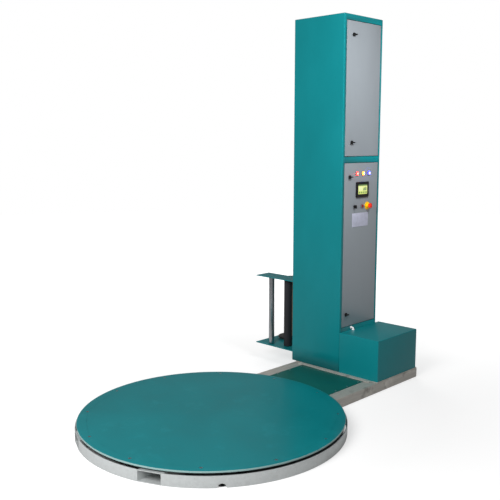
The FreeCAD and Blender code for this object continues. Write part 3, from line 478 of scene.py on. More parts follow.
def galvanised(name, colour, rough=0.36, grain=(3.0, 3.0, 60.0)):
    """Zinc-coated steel: crystal cells in slightly different greys, rolling lines and small dull spots."""
    metal = Finish(name, colour, rough, metal=0.5)
    crystals = metal.cells(70.0)
    metal.tinted(metal.spread(crystals.outputs["Color"], 0.2, 0.9, 0.0, 0.22), shade(colour, 0.72))
    metal.spotted(9.0, 7.0, 0.58, 0.74, 0.30, shade(colour, 0.60))
    metal.spotted(160.0, 3.0, 0.66, 0.74, 0.5, linear(110, 104, 92))
    lines = metal.noise(40.0, 4.0, grain)
    metal.uneven(lines, rough - 0.08, rough + 0.14)
    metal.bumped(crystals.outputs["Distance"], 0.06, 0.0008)
    return metal.bumped(lines, 0.08, 0.0005)


def worn_steel(name, colour, along=(0.6, 14.0, 14.0)):
    """Handled steel: long rolling lines, rubbed bright patches and brown-grey dirt."""
    metal = Finish(name, colour, 0.46, metal=0.4)
    lines = metal.noise(18.0, 5.0, along)
    metal.tinted(metal.spread(lines, 0.40, 0.75, 0.0, 0.40), shade(colour, 0.62))
    metal.spotted(5.0, 8.0, 0.55, 0.66, 0.75, shade(colour, 1.5))
    metal.spotted(11.0, 9.0, 0.58, 0.72, 0.55, linear(74, 66, 56))
    metal.uneven(lines, 0.34, 0.56)
    return metal.bumped(metal.noise(220.0, 4.0), 0.12, 0.0006)


def machined(name, colour, rough=0.26, grain=(1.0, 1.0, 40.0)):
    """Turned or milled steel: fine tool lines and a light film of oil."""
    metal = Finish(name, colour, rough, metal=1.0)
    lines = metal.noise(60.0, 3.0, grain)
    metal.tinted(metal.spread(lines, 0.35, 0.7, 0.0, 0.35), shade(colour, 0.7))
    metal.spotted(20.0, 6.0, 0.58, 0.75, 0.5, shade(colour, 0.5))
    metal.uneven(lines, rough - 0.06, rough + 0.12)
    return metal.bumped(lines, 0.10, 0.0003)


def moulded(name, colour, rough=0.42, grain=900.0, coat=0.0):
    """Injection-moulded plastic: fine spark-eroded grain and slight sink patches."""
    plastic = Finish(name, colour, rough, coat=coat)
    plastic.varied(0.08, 30.0)
    plastic.bumped(plastic.noise(grain, 2.0), 0.16, 0.0003)
    return plastic.bumped(plastic.noise(45.0, 1.0), 0.05, 0.0008)


def lens(name, colour, glow, low, high):
    """Lit lamp lens: prism cells in the colour, pale on the axis where the bulb is and deep at the rim."""
    glass = Finish(name, colour, 0.16, coat=0.6, coat_rough=0.05)
    pattern = glass.cells(420.0)
    glass.tinted(glass.spread(pattern.outputs["Distance"], 0.2, 0.8, 0.0, 0.55), shade(colour, 0.45))
    glass.bumped(pattern.outputs["Distance"], 0.35, 0.0008)
    out = glass.reach("X", "Z", ((low[0] + high[0]) / 2, (low[2] + high[2]) / 2))
    core = glass.spread(out, BULB_CORE, 0.47 * float(high[0] - low[0]), 1.0, 0.0)
    light = glass.mixed(core, tuple(c * c for c in colour), tuple(min(1.0, c + 0.03) for c in colour))
    return glass.glowing(glow, light)


def rubber(name, colour):
    """Rubber sleeve: matt, faintly wiped along its length."""
    skin_ = Finish(name, colour, 0.72)
    skin_.varied(0.16, 12.0, stretch=(1.0, 1.0, 0.2))
    return skin_.bumped(skin_.noise(300.0, 3.0), 0.25, 0.0005)


def board(name, colour):
    """Spiral-wound cardboard core: slanting plies and short fibres."""
    card = Finish(name, colour, 0.8)
    card.varied(0.12, 60.0, stretch=(1.0, 1.0, 6.0))
    card.spotted(500.0, 4.0, 0.6, 0.75, 0.5, shade(colour, 0.7), (1.0, 1.0, 0.1))
    return card.bumped(card.noise(400.0, 4.0), 0.3, 0.0004)


def oiled(name, colour):
    """Dark oiled steel of chains, sprockets and brackets."""
    metal = Finish(name, colour, 0.35, metal=0.9, coat=0.3, coat_rough=0.2)
    metal.varied(0.25, 45.0)
    metal.spotted(90.0, 6.0, 0.58, 0.70, 0.6, linear(70, 58, 44))
    return metal.bumped(metal.noise(260.0, 4.0), 0.18, 0.0005)


def tabletop(name, colour, radius):
    """Turntable paint: powder coat with round scuffs from pallets, scratches, and a pale line round
    the rim that a noise makes uneven."""
    coat = powder_coat(name, colour, 0.36)
    out = coat.reach("X", "Y")
    scuffs = coat.noise(7.0, 9.0, (1.0, 1.0, 1.0), 0.7)
    coat.tinted(coat.spread(scuffs, 0.56, 0.70, 0.0, 0.30), tuple(min(1.0, 1.45 * c + 0.01) for c in colour))
    for stretch in ((2.0, 90.0, 1.0), (80.0, 3.0, 1.0)):
        scratch = coat.noise(3.0, 3.0, stretch)
        coat.tinted(coat.spread(scratch, 0.74, 0.80, 0.0, 0.35), linear(120, 160, 160))
    rim = coat.spread(coat.maths("ADD", out, coat.maths("MULTIPLY", coat.noise(30.0, 5.0), 0.004)),
                      radius - 0.0004, radius + 0.0014, 0.0, 0.85)
    return coat.tinted(rim, linear(150, 176, 174))


def panel_glow(name, low, high):
    """Lit operator screen: pale green field, a title bar, a row of keys and a bar graph, all plain blocks."""
    glass = Finish(name, linear(30, 34, 20), 0.14, coat=0.8, coat_rough=0.04)
    across = glass.spread(glass.axis("X"), low[0], high[0])
    up = glass.spread(glass.axis("Z"), low[2], high[2])

    def block(x0, x1, y0, y1):
        inside = None
        for value, start, end in ((across, x0, x1), (up, y0, y1)):
            for test in (glass.maths("GREATER_THAN", value, start), glass.maths("LESS_THAN", value, end)):
                inside = test if inside is None else glass.maths("MULTIPLY", inside, test)
        return inside

    light = glass.mixed(glass.spread(up, 0.0, 1.0, 0.0, 0.6), linear(214, 226, 120), linear(240, 248, 176))
    light = glass.mixed(block(0.0, 1.0, 0.86, 1.0), light, linear(92, 120, 70))
    for left in (0.06, 0.30, 0.54, 0.78):
        light = glass.mixed(block(left, left + 0.17, 0.07, 0.26), light, linear(120, 150, 74))
    for number, height in enumerate((0.22, 0.34, 0.28, 0.40, 0.31)):
        left = 0.55 + 0.075 * number
        light = glass.mixed(block(left, left + 0.05, 0.36, 0.36 + height), light, linear(60, 110, 90))
    for number in range(3):
        light = glass.mixed(block(0.07, 0.46, 0.40 + 0.14 * number, 0.48 + 0.14 * number), light,
                            linear(236, 240, 200))
    light = glass.mixed(glass.spread(glass.noise(2500.0, 1.0), 0.5, 0.8, 0.0, 0.10), light,
                        linear(60, 80, 40))
    glass.bumped(glass.noise(600.0, 1.0), 0.02, 0.0002)
    return glass.glowing(1.1, light)


FINISHES = {}


def make_finishes():
    """One material per finish, filled once."""
    c = colours()
    made = {
        "teal_paint": powder_coat("teal_paint", c.teal),
        "teal_plate_paint": tabletop("teal_plate_paint", tuple(c.plate_teal), float(PLATE_HIGH[0])),
        "cover_paint": powder_coat("cover_paint", c.cover, 0.42),
        "door_paint": satin_paint("door_paint", c.door),
        "galvanised_steel": galvanised("galvanised_steel", c.ring),
        "arm_steel": worn_steel("arm_steel", c.arm),
        "machined_steel": machined("machined_steel", linear(190, 192, 196)),
        "roller_steel": machined("roller_steel", linear(170, 172, 176), 0.32),
        "dark_steel": oiled("dark_steel", linear(58, 58, 62)),
        "motor_grey": powder_coat("motor_grey", linear(92, 98, 104), 0.45, 300.0),
        "white_plastic": moulded("white_plastic", linear(222, 224, 226)),
        "black_plastic": moulded("black_plastic", c.black, 0.38),
        "grey_plastic": moulded("grey_plastic", linear(120, 124, 130)),
        "chromed_ring": machined("chromed_ring", linear(214, 216, 220), 0.14),
        "yellow_plastic": moulded("yellow_plastic", linear(250, 196, 20), 0.35, coat=0.2),
        "estop_red": moulded("estop_red", linear(226, 44, 20), 0.28, coat=0.4),
        "button_red": moulded("button_red", linear(128, 16, 22), 0.3, coat=0.4),
        "screen_glow": panel_glow("screen_glow", *corners("hmi_screen")),
        "label_plate": moulded("label_plate", linear(178, 180, 198), 0.5),
        "core_tube": board("core_tube", linear(150, 112, 76)),
        "roller_rubber": rubber("roller_rubber", linear(40, 40, 44)),
        "red_lens": lens("red_lens", c.red_lens, 34.0, *corners("red_lamp")),
        "yellow_lens": lens("yellow_lens", c.yellow_lens, 16.0, *corners("yellow_lamp")),
        "blue_lens": lens("blue_lens", c.blue_lens, 60.0, *corners("blue_lamp")),
    }
    FINISHES.update({name: finish.material for name, finish in made.items()})


def finish(name):
    if not FINISHES:
        make_finishes()
    return FINISHES[name]


CARRIED = {
    "galvanised_steel": ["base_spokes", "control_backplate"],
    "machined_steel": ["plate_screws", "centre_post", "centre_bearing", "guide_rails", "hinge_brackets",
                       "roller_track",
                       "turntable_hub"],
    "roller_steel": [f"support_roller_{number}" for number in range(1, 7)],
    "dark_steel": ["roller_brackets", "turntable_sprocket", "drive_sprocket", "drive_chain", "lift_chain",
                   "lift_bottom_sprocket", "lift_top_sprocket", "lift_bracket"],
    "motor_grey": ["drive_gearbox", "drive_motor", "lift_gearbox", "lift_motor"],
    "teal_paint": ["carriage_frame"],
    "white_plastic": ["glide_blocks"],
    "grey_plastic": ["control_gear"],
}


# ---- operators -----------------------------------------------------------------------------


class WRAPPER_OT_turntable(bpy.types.Operator):
    """Turntable plate with a rounded rim and a countersink at each screw"""
    bl_idname = "wrapper.turntable"
    bl_label = "Turntable Plate"

    def execute(self, context):
        s = sizes()
        radius, top, bottom = float(PLATE_HIGH[0]), float(PLATE_HIGH[2]), float(PLATE_LOW[2])
        screws_r, half, sectors, fine = radius - SCREW_INSET, 0.015, PLATE_SCREWS, 12
        count = sectors * fine
        t, e = quarter(s.round_steps), s.plate_edge
        rim = np.concatenate([[(0.0, bottom)],
                              np.column_stack([radius - 0.0005 + 0 * t[:1], bottom + 0 * t[:1]]),
                              [(radius, bottom + 0.0005)],
                              np.column_stack([radius - e * (1 - np.cos(t)), top - e * (1 - np.sin(t))]),
                              [(screws_r + half, top)]])
        turn = FIRST_SCREW - math.pi / sectors
        outer = turned(rim, (0, 0), count=count)
        outer[1].pop()
        middle = turned([(screws_r - half, top), (0.0, top)], (0, 0), count=count)
        middle[1].pop(-2)
        parts = [spun(outer, turn), spun(middle, turn)]
        parts += [self.screw_cell(turn + 2 * math.pi * k / sectors, 2 * math.pi / sectors, fine, screws_r,
                                  half, top)
                  for k in range(sectors)]
        joined, faces, start = [], [], 0
        for points, part_faces in parts:
            joined.append(points)
            faces += [[index + start for index in face] for face in part_faces]
            start += len(points)
        piece("turntable_top", [(np.concatenate(joined), faces)], "turntable", "teal_plate_paint",
              ["turntable_plate"])
        return {"FINISHED"}

    def screw_cell(self, start, width, fine, screws_r, half, top):
        """Sector of the plate round one screw: its outline drawn in towards a circle, then down the
        countersink."""
        angle = start + width * np.linspace(0, 1, fine + 1)
        side = np.linspace(-half, half, 7)[1:-1]
        far, near = screws_r + half, screws_r - half
        outline = np.concatenate([
            np.stack([far * np.cos(angle), far * np.sin(angle)], 1),
            np.outer(screws_r - side, [math.cos(angle[-1]), math.sin(angle[-1])]),
            np.stack([near * np.cos(angle[::-1]), near * np.sin(angle[::-1])], 1),
            np.outer(screws_r + side, [math.cos(angle[0]), math.sin(angle[0])])])
        centre = screws_r * np.array([math.cos(start + width / 2), math.sin(start + width / 2)])
        away = outline - centre
        hole = centre + 0.0102 * away / np.linalg.norm(away, axis=1, keepdims=True)
        mix = np.array([0.0, 0.25, 0.5, 0.75, 1.0])[:, None, None]
        loops = (1 - mix) * outline[None] + mix * hole[None]
        shrink = np.array([0.61, 0.0])[:, None, None]
        loops = np.concatenate([loops, centre + shrink * (hole - centre)[None]])
        heights = np.array([top] * 5 + [top - 0.005, top - 0.005])
        points, faces = skin(stood(loops, heights), caps=False)
        return points, faces


class WRAPPER_OT_ring(bpy.types.Operator):
    """Rolled base ring with half-round notches, its tabs, and the fork pockets"""
    bl_idname = "wrapper.ring"
    bl_label = "Base Ring and Pockets"

    def execute(self, context):
        s = sizes()
        outer, top = RING_RADIUS, float(RING_HIGH[2])
        inner = outer - s.ring_wall
        pocket_out, pocket_in = float(FORK_HIGH[1]), float(FORK_HIGH[1]) - POCKET_WIDTH
        window = math.asin(-float(COVER_LOW[1]) / outer)
        middle = (inner + outer) / 2
        far = math.pi - math.asin(pocket_out / middle)
        near = math.pi - math.asin(pocket_in / middle)
        parts = [self.band(-far, far, pocket_out, inner, outer, top, NOTCH_AZIMUTHS, window, s),
                 self.band(near, 2 * math.pi - near, pocket_in, inner, outer, top, [], 0.0, s)]
        for azimuth in NOTCH_AZIMUTHS:
            tab = slab(rectangle(inner - 0.045, inner + 0.001, -0.02, 0.02, 0.004), 0.040, 0.046, 0.0008)
            parts.append(spun(tab, azimuth))
        piece("rolled_ring", parts, "base_and_mast", "galvanised_steel", ["base_ring"])
        parts = [self.pocket(low, high, outer, inner, top, s.pocket_wall)
                 for low, high in ((pocket_in, pocket_out), (-pocket_out, -pocket_in))]
        piece("fork_pockets", parts, "base_and_mast", "galvanised_steel", ["fork_tubes"])
        return {"FINISHED"}

    def band(self, start, end, edge_y, inner, outer, top, notches, window, s):
        """Closed profile carried round the centre.

        Its foot rises to sqrt(R^2 - s^2) over a notch, and to the window's height at the front.
        """
        middle = (inner + outer) / 2
        angle = np.linspace(start, end, int((end - start) / math.radians(1.0)) + 1)
        foot = np.zeros_like(angle)
        if window:
            foot[np.abs(angle) < window] = top - 0.006
            gates = np.array([-window, -window, window, window])
            angle, foot = np.append(angle, gates), np.append(foot, [0.0, top - 0.006, top - 0.006, 0.0])
        for azimuth in notches:
            sweep = np.linspace(math.pi, 0, 25)
            reach = s.notch_radius / middle
            keep = np.abs(angle - azimuth) > reach
            angle = np.append(angle[keep], azimuth + reach * np.cos(sweep))
            foot = np.append(foot[keep], s.notch_radius * np.sin(sweep))
        order = np.argsort(angle, kind="stable")
        angle, foot = angle[order], foot[order]
        profile = rectangle(inner, outer, 0.0, top, s.ring_edge, 3)
        lower = profile[:, 1] < top / 2
        radius = np.broadcast_to(profile[:, 0], (len(angle), len(profile)))
        height = profile[:, 1][None] + np.where(lower[None], foot[:, None], 0.0)
        loops = np.stack([radius * np.cos(angle[:, None]), radius * np.sin(angle[:, None]), height], -1)
        for row in (0, -1):
            y = math.copysign(edge_y, loops[row, 0, 1])
            loops[row, :, 1] = y
            loops[row, :, 0] = -np.sqrt(radius[row] ** 2 - y * y)
        return skin(loops)

    def pocket(self, low, high, outer, inner, top, wall):
        """Rectangular tube along X; each point of its outline starts and ends where the ring's circle
        crosses its y."""
        profile = narrowed(rectangle(low, high, 0.0, top, 0.005, 5), [0.0, wall])
        y = profile[..., 0]
        back = -np.sqrt(outer ** 2 - y ** 2)
        front = np.sqrt((inner - 0.0003) ** 2 - y ** 2)
        order = [(back[0], profile[0]), (front[0], profile[0]), (front[1], profile[1]), (back[1], profile[1])]
        loops = np.stack([np.column_stack([x, points]) for x, points in order])
        return skin(loops, around=True)


class WRAPPER_OT_feet(bpy.types.Operator):
    """Levelling feet: a round pad, a threaded stud and two nuts at each notch"""
    bl_idname = "wrapper.feet"
    bl_label = "Levelling Feet"

    def execute(self, context):
        s = sizes()
        reach = RING_RADIUS - s.ring_wall - 0.024
        pads, studs = [], []
        for angle in NOTCH_AZIMUTHS:
            centre = (reach * math.cos(angle), reach * math.sin(angle))
            pad = softened([(0, 0), (0.018, 0), (0.018, 0.003), (0.008, 0.005), (0.0, 0.005)], [0.001] * 5, 3)
            pads.append(turned(pad, centre))
            height = np.arange(0.005, 0.0595, 0.0005)
            thread = np.column_stack([0.0046 + 0.0004 * np.abs(((height / 0.0015) % 1.0) * 2 - 1), height])
            studs.append(turned(np.concatenate([[(0, 0.005)], thread, [(0, 0.06)]]), centre, count=20))
            nut = circle(0, 0, 0.0092, 6)
            studs += [slab(rounded(nut + centre, 0.0006, 2), *span, 0.0008)
                      for span in ((0.046, 0.052), (0.034, 0.0399))]
        piece("levelling_pads", pads, "base_and_mast", "machined_steel", ["levelling_feet"])
        piece("levelling_studs", studs, "base_and_mast", "dark_steel")
        return {"FINISHED"}


class WRAPPER_OT_arm(bpy.types.Operator):
    """Arm rails, their cross members, the cover plate between them and the mast's base plate"""
    bl_idname = "wrapper.arm"
    bl_label = "Arm"

    def execute(self, context):
        s = sizes()
        y0, y1 = float(COVER_HIGH[1]), float(RAILS_HIGH[1])
        top, end = float(RAILS_HIGH[2]), float(RAILS_HIGH[0])
        ring = RING_RADIUS + 0.0003
        parts = [self.rail(low, high, top, ring, end, s.rail_edge) for low, high in ((y0, y1), (-y1, -y0))]
        parts.append(slab(rectangle(end - 0.060, end, -y0, y0, 0.001), 0.0, top, 0.002))
        front = float(BASE_LOW[0])
        parts.append(slab(rectangle(front, front + 0.060, -y0, y0, 0.001), 0.0, 0.030, 0.002))
        piece("rails", parts, "base_and_mast", "arm_steel", ["arm_rails"])
        y = np.linspace(y0, -y0, 33)
        edge = np.stack([np.sqrt((ring + 0.0027) ** 2 - y ** 2), y], 1)
        outline = np.concatenate([edge, [(front, -y0), (front, y0)]])
        cover = slab(outline, float(COVER_LOW[2]), float(COVER_HIGH[2]), 0.0006)
        heads = [turned(softened([(0, 0), (0.0065, 0), (0.006, 0.0016), (0.003, 0.0023), (0, 0.0024)],
                                 [0.0003] * 5, 2)
                        + [0, top], (x, side * (y0 - 0.018)), count=24)
                 for x in (0.90, 1.03, 1.16) for side in (-1, 1)]
        piece("cover_sheet", [cover], "base_and_mast", "teal_paint", ["arm_cover"], "cover_paint")
        piece("cover_screws", heads, "base_and_mast", "machined_steel")
        x1, lip = float(BASE_HIGH[0]), y1 - 0.050
        low, high = float(BASE_LOW[2]), float(BASE_HIGH[2])
        mast = float(MAST_LOW[0])
        corners_ = [(mast, -y1), (x1, -y1), (x1, y1), (mast, y1), (mast, lip), (front, lip), (front, -lip),
                    (mast, -lip)]
        plate = slab(rounded(corners_, [0.004, 0.006, 0.006, 0.004, 0.002, 0.006, 0.006, 0.002]), low, high,
                     0.001)
        piece("foot_plate", [plate], "base_and_mast", "arm_steel", ["mast_base_plate"])
        return {"FINISHED"}

    def rail(self, low, high, top, ring, end, edge):
        """Rounded rectangular bar along X that starts on the ring's circle and ends in a cap rounded
        by a quarter circle."""
        profile = rectangle(low, high, 0.0, top, edge, 6)
        start = np.sqrt(ring ** 2 - profile[:, 0] ** 2)
        t = quarter(3)
        capped = narrowed(profile, 0.002 * (1 - np.cos(t)))
        loops = [np.column_stack([start, profile])]
        loops += [np.column_stack([np.full(len(profile), x), points])
                  for x, points in zip(end - 0.002 * (1 - np.sin(t)), capped)]
        return skin(np.stack(loops))


class WRAPPER_OT_drive_cover(bpy.types.Operator):
    """Folded sheet cover over the table drive, and the cable gland on its top"""
    bl_idname = "wrapper.drive_cover"
    bl_label = "Drive Cover and Gland"

    def execute(self, context):
        s = sizes()
        low, high = DRIVE_LOW, DRIVE_HIGH
        outline = rectangle(low[0], high[0], low[1], high[1], s.cover_bend, 6)
        parts = [pressed(outline, float(low[2]), float(high[2]), 0.003, s.cover_bend, steps=6)]
        piece("drive_box", parts, "base_and_mast", "teal_paint", ["drive_cover"])
        self.gland()
        return {"FINISHED"}

    def gland(self):
        """Hexagon and dome nuts on the cover, then a pipe whose centre line is a quarter circle into
        the mast."""
        x, top = centred("cable_gland")[2], float(DRIVE_HIGH[2])
        y = float(FACE_Y) - 0.022
        bend_z = float(LOWER_LOW[2] + top) / 2
        hexagon = rounded(circle(x, y, 0.0112, 6), 0.001, 3)
        parts = [slab(hexagon, top, top + 0.005, 0.0006),
                 turned(softened([(0.0, top + 0.004), (0.0095, top + 0.004), (0.0095, top + 0.0062),
                                  (0.0074, top + 0.008),
                                  (0.0, top + 0.008)], [0.0006] * 5, 3), (x, y), count=32)]
        radius = bend_z - top - 0.006
        t = quarter(10)
        curve = np.column_stack([y + radius * (1 - np.cos(t)), bend_z - radius * (1 - np.sin(t))])
        path = np.concatenate([[(y, top + 0.001)], curve, [(FACE_Y + 0.006, bend_z)]])
        lean = np.concatenate([[0.0], t, [math.pi / 2]])
        around = np.arange(24) * 2 * math.pi / 24
        loops = np.stack([np.broadcast_to(x + 0.0068 * np.cos(around), (len(path), 24)),
                          path[:, :1] - 0.0068 * np.sin(around)[None] * np.cos(lean)[:, None],
                          path[:, 1:] + 0.0068 * np.sin(around)[None] * np.sin(lean)[:, None]], -1)
        parts.append(skin(loops))
        parts.append(slab(rounded(circle(x, bend_z, 0.0112, 6), 0.001, 3), FACE_Y - 0.005, FACE_Y, 0.0006,
                          "Y"))
        piece("gland", parts, "base_and_mast", "white_plastic", ["cable_gland"])


class WRAPPER_OT_mast(bpy.types.Operator):
    """Folded mast with two door openings, the carriage slot and a closed top, and the strips behind
    the doors' edges"""
    bl_idname = "wrapper.mast"
    bl_label = "Mast"

    def execute(self, context):
        s = sizes()
        (x0, y0, z0), (x1, y1, z1) = MAST_LOW, MAST_HIGH
        gap, bend = s.door_gap, s.mast_bend
        doors = [(LOWER_LOW[2] - gap, LOWER_HIGH[2] + gap), (UPPER_LOW[2] - gap, UPPER_HIGH[2] + gap)]
        dx0, dx1 = UPPER_LOW[0] - gap, UPPER_HIGH[0] + gap
        middle = (x0 + x1) / 2
        slot = (middle - SLOT_HALF, middle + SLOT_HALF, SLOT_BOTTOM, SLOT_TOP)
        corner = rectangle(x0, x1, y0, y1, bend, 6).reshape(4, 7, 2)
        outline = np.concatenate([corner[0], [(dx0, y0), (dx1, y0)], corner[1], corner[2],
                                  [(slot[1], y1), (slot[0], y1)], corner[3]])
        t = quarter(6)
        heights = np.sort(np.array([z0, *doors[0], *doors[1], slot[2], slot[3], z1 - bend]))
        insets = np.concatenate([np.zeros(len(heights)), bend * (1 - np.cos(t[1:]))])
        heights = np.concatenate([heights, z1 - bend * (1 - np.sin(t[1:]))])
        loops = stood(narrowed(outline, insets), heights)
        centre = (loops[:-1] + loops[1:]) / 2
        centre = (centre + np.roll(centre, -1, 1)) / 2
        x, y, z = centre[..., 0], centre[..., 1], centre[..., 2]
        front = (np.abs(y - y0) < 1e-4) & (x > dx0) & (x < dx1)
        back = (np.abs(y - y1) < 1e-4) & (x > slot[0]) & (x < slot[1]) & (z > slot[2]) & (z < slot[3])
        in_doorway = ((z > doors[0][0]) & (z < doors[0][1])) | ((z > doors[1][0]) & (z < doors[1][1]))
        open_ = (front & in_doorway) | back
        points, faces = skin(loops, caps=True, keep=~open_)
        faces.pop(-2)
        piece("mast_skin", [(points, faces)], "base_and_mast", "teal_paint", ["mast_shell"],
              thickness=s.sheet)
        edges = ((LOWER_LOW[2], LOWER_HIGH[2]), (UPPER_LOW[2], UPPER_HIGH[2]))
        inner = UPPER_LOW[0] + 0.011
        strips = [(x0 + 0.0015, inner, low - STOP_LAP, high + STOP_LAP) for low, high in edges]
        strips += [(inner + 0.0002, UPPER_HIGH[0] - 0.021, edge - STOP_LAP, edge + STOP_LAP)
                   for pair in edges for edge in pair]
        near, far = y0 + STOP_SETBACK, y0 + STOP_SETBACK + STOP_SHEET
        stops = [slab(rectangle(*strip, 0.001), near, far, 0.0004, "Y") for strip in strips]
        piece("door_stops", stops, "base_and_mast", "teal_paint")
        return {"FINISHED"}


class WRAPPER_OT_doors(bpy.types.Operator):
    """Two sheet doors with returned edges and hinge knuckles"""
    bl_idname = "wrapper.doors"
    bl_label = "Doors"

    def execute(self, context):
        s = sizes()
        for name, low, high in (("upper_door", UPPER_LOW, UPPER_HIGH), ("lower_door", LOWER_LOW, LOWER_HIGH)):
            x0, x1, z0, z1 = low[0], high[0], low[2], high[2]
            hinge_x, hinge_y = x1 - HINGE_INSET, FACE_Y + HINGE_INSET
            sheet = slab(rectangle(x0, x1, z0, z1, s.door_corner, 6), FACE_Y, FACE_Y + DOOR_SHEET, 0.0009,
                         "Y", 4)
            walls = frame_wall(rectangle(x0, hinge_x - 0.012, z0, z1, s.door_corner, 6), DOOR_SHEET,
                               FACE_Y + 0.001,
                               FACE_Y + DOOR_DEPTH)
            parts = [sheet, walls]
            for z in (z0 + 0.130, z1 - 0.130):
                parts.append(collar((hinge_x, hinge_y), 0.00255, 0.0055, z - 0.025, z + 0.025, 0.0005,
                                    count=24))
            for z in np.linspace(z0 + 0.25, z1 - 0.25, 3):
                parts.append(slab(rectangle(x0 + 0.03, hinge_x - 0.042, z - 0.012, z + 0.012, 0.002),
                                  FACE_Y + 0.0018,
                                  FACE_Y + 0.009, 0.001, "Y"))
            piece(name + "_sheet", parts, name, "door_paint", [name])
        return {"FINISHED"}


class WRAPPER_OT_latches(bpy.types.Operator):
    """Wing latches: a rounded wing on a disc outside, a shaft and a cam inside"""
    bl_idname = "wrapper.latches"
    bl_label = "Latches"

    def execute(self, context):
        for name in ("upper_latch_top", "upper_latch_bottom", "lower_latch_top", "lower_latch_bottom"):
            low, high = corners(name)
            x, z = (low[0] + high[0]) / 2, high[2] - 0.014
            face = FACE_Y - 0.0003
            disc = [(0, face - 0.006), (0.0125, face - 0.006), (0.014, face - 0.004), (0.014, face),
                    (0, face)]
            wing = rectangle(x - 0.020, x + 0.020, z - 0.0045, z + 0.0045, 0.0043, 6)
            waist = wing.copy()
            waist[:, 1] = z + (wing[:, 1] - z) * (0.72 + 0.28 * np.minimum(1,
                                                                           np.abs(wing[:,
                                                                                       0] - x) / 0.012) ** 2)
            parts = [knob(disc, [0.0005] * 5, (x, z), 3, 40),
                     slab(waist, face - 0.020, face - 0.0055, 0.0022, "Y", 4),
                     turned([(0, face), (0.008, face), (0.008, high[1]), (0, high[1])], (x, z), "Y", 24),
                     slab(rectangle(x - 0.009, x + 0.009, low[2], z + 0.009, 0.004), high[1] - 0.0050,
                          high[1] - 0.0010,
                          0.0005, "Y"),
                     knob([(0, high[1]), (0.0066, high[1]), (0.0066, high[1] - 0.001), (0, high[1] - 0.001)],
                          [0.0002] * 4, (x, z), 2, 6)]
            piece(name + "_wing", parts, name, "black_plastic", [name])
        return {"FINISHED"}


class WRAPPER_OT_lamps(bpy.types.Operator):
    """Three lit signal lamps and the bright collars round the controls"""
    bl_idname = "wrapper.lamps"
    bl_label = "Signal Lamps"

    def execute(self, context):
        places, bodies = {}, []
        for colour in ("red", "yellow", "blue"):
            low, high, x, z = centred(colour + "_lamp")
            places[colour] = (x, z)
            front, radius = low[1], (high[0] - low[0]) / 2
            t = np.linspace(0, math.pi / 2, 9)
            dome = np.column_stack([radius * np.sin(t) ** 0.8, front + 0.006 * (1 - np.cos(t))])
            ribs = np.column_stack([radius - 0.0004 * (np.arange(8) % 2),
                                    front + 0.006 + 0.0007 * np.arange(8)])
            profile = np.concatenate([dome, ribs, [(radius - 0.001, FACE_Y + 0.001), (0, FACE_Y + 0.001)]])
            shell = [(0, FACE_Y + 0.0012), (radius - 0.0008, FACE_Y + 0.0012),
                     (radius - 0.0008, FACE_Y + 0.016),
                     (radius - 0.0025, FACE_Y + 0.016), (radius - 0.0025, high[1]), (0, high[1])]
            bodies.append(knob(shell, [0.0005] * 6, (x, z), 3, 32))
            piece(colour + "_lens", [turned(profile, (x, z), "Y", 40)], "lower_door", colour + "_lens",
                  [colour + "_lamp"])
        piece("lamp_bodies", bodies, "lower_door", "black_plastic")
        rings = [collar(place, 0.0121, 0.0150, FACE_Y - 0.007, FACE_Y, 0.0009, "Y")
                 for place in places.values()]
        for node, inner, height in (("selector_knob", 0.0081, 0.006), ("push_button", 0.0116, 0.008)):
            place = centred(node)[2:]
            rings.append(collar(place, inner, 0.0150, FACE_Y - height, FACE_Y, 0.0009, "Y"))
        piece("collars", rings, "lower_door", "chromed_ring", ["panel_collars"])
        return {"FINISHED"}


class WRAPPER_OT_buttons(bpy.types.Operator):
    """Selector, push button and emergency stop with its yellow collar"""
    bl_idname = "wrapper.buttons"
    bl_label = "Buttons"

    def execute(self, context):
        low, high, x, z = centred("estop_button")
        cap = [(0, low[1] + 0.0004), (0.010, low[1] + 0.0006), (0.017, low[1] + 0.0030),
               (0.020, low[1] + 0.0075),
               (0.020, low[1] + 0.0125), (0.0185, low[1] + 0.016), (0.012, low[1] + 0.016),
               (0.010, low[1] + 0.018),
               (0.010, high[1]), (0, high[1])]
        piece("stop_cap",
              [knob(cap, [0.0001, 0.002, 0.003, 0.003, 0.001, 0.0008, 0.0006, 0.0006, 0.0004, 0.0001],
                    (x, z), 4, 56)], "estop_button", "estop_red", ["estop_button"])
        base = [collar((x, z), 0.0101, 0.0300, FACE_Y - 0.003, FACE_Y, 0.0008, "Y", 64),
                collar((x, z), 0.0101, 0.0150, FACE_Y - 0.016, FACE_Y - 0.0028, 0.0008, "Y", 48)]
        piece("stop_collar", base, "lower_door", "yellow_plastic", ["estop_collar"])
        low, high, x, z = centred("push_button")
        cap = [(0, low[1]), (0.0085, low[1]), (0.0115, low[1] + 0.0012), (0.0115, low[1] + 0.006),
               (0.007, low[1] + 0.006),
               (0.007, high[1]), (0, high[1])]
        piece("push_cap", [knob(cap, [0.0001, 0.001, 0.0008, 0.0005, 0.0005, 0.0003, 0.0001], (x, z), 3)],
              "push_button", "button_red", ["push_button"])
        low, high, x, z = centred("selector_knob")
        skirt = [(0, low[1] + 0.012), (0.0125, low[1] + 0.0122), (0.013, low[1] + 0.018),
                 (0.008, low[1] + 0.018),
                 (0.008, high[1]), (0, high[1])]
        grip = rounded([(x - 0.004, z - 0.0125), (x + 0.004, z - 0.0125), (x + 0.0036, z + 0.0125),
                        (x - 0.0036, z + 0.0125)],
                       0.0026, 5)
        piece("selector_grip", [knob(skirt, [0.0001, 0.001, 0.0008, 0.0005, 0.0003, 0.0001], (x, z), 3),
                                slab(grip, low[1], low[1] + 0.013, 0.0018, "Y", 4)],
              "selector", "black_plastic", ["selector_knob"])
        return {"FINISHED"}


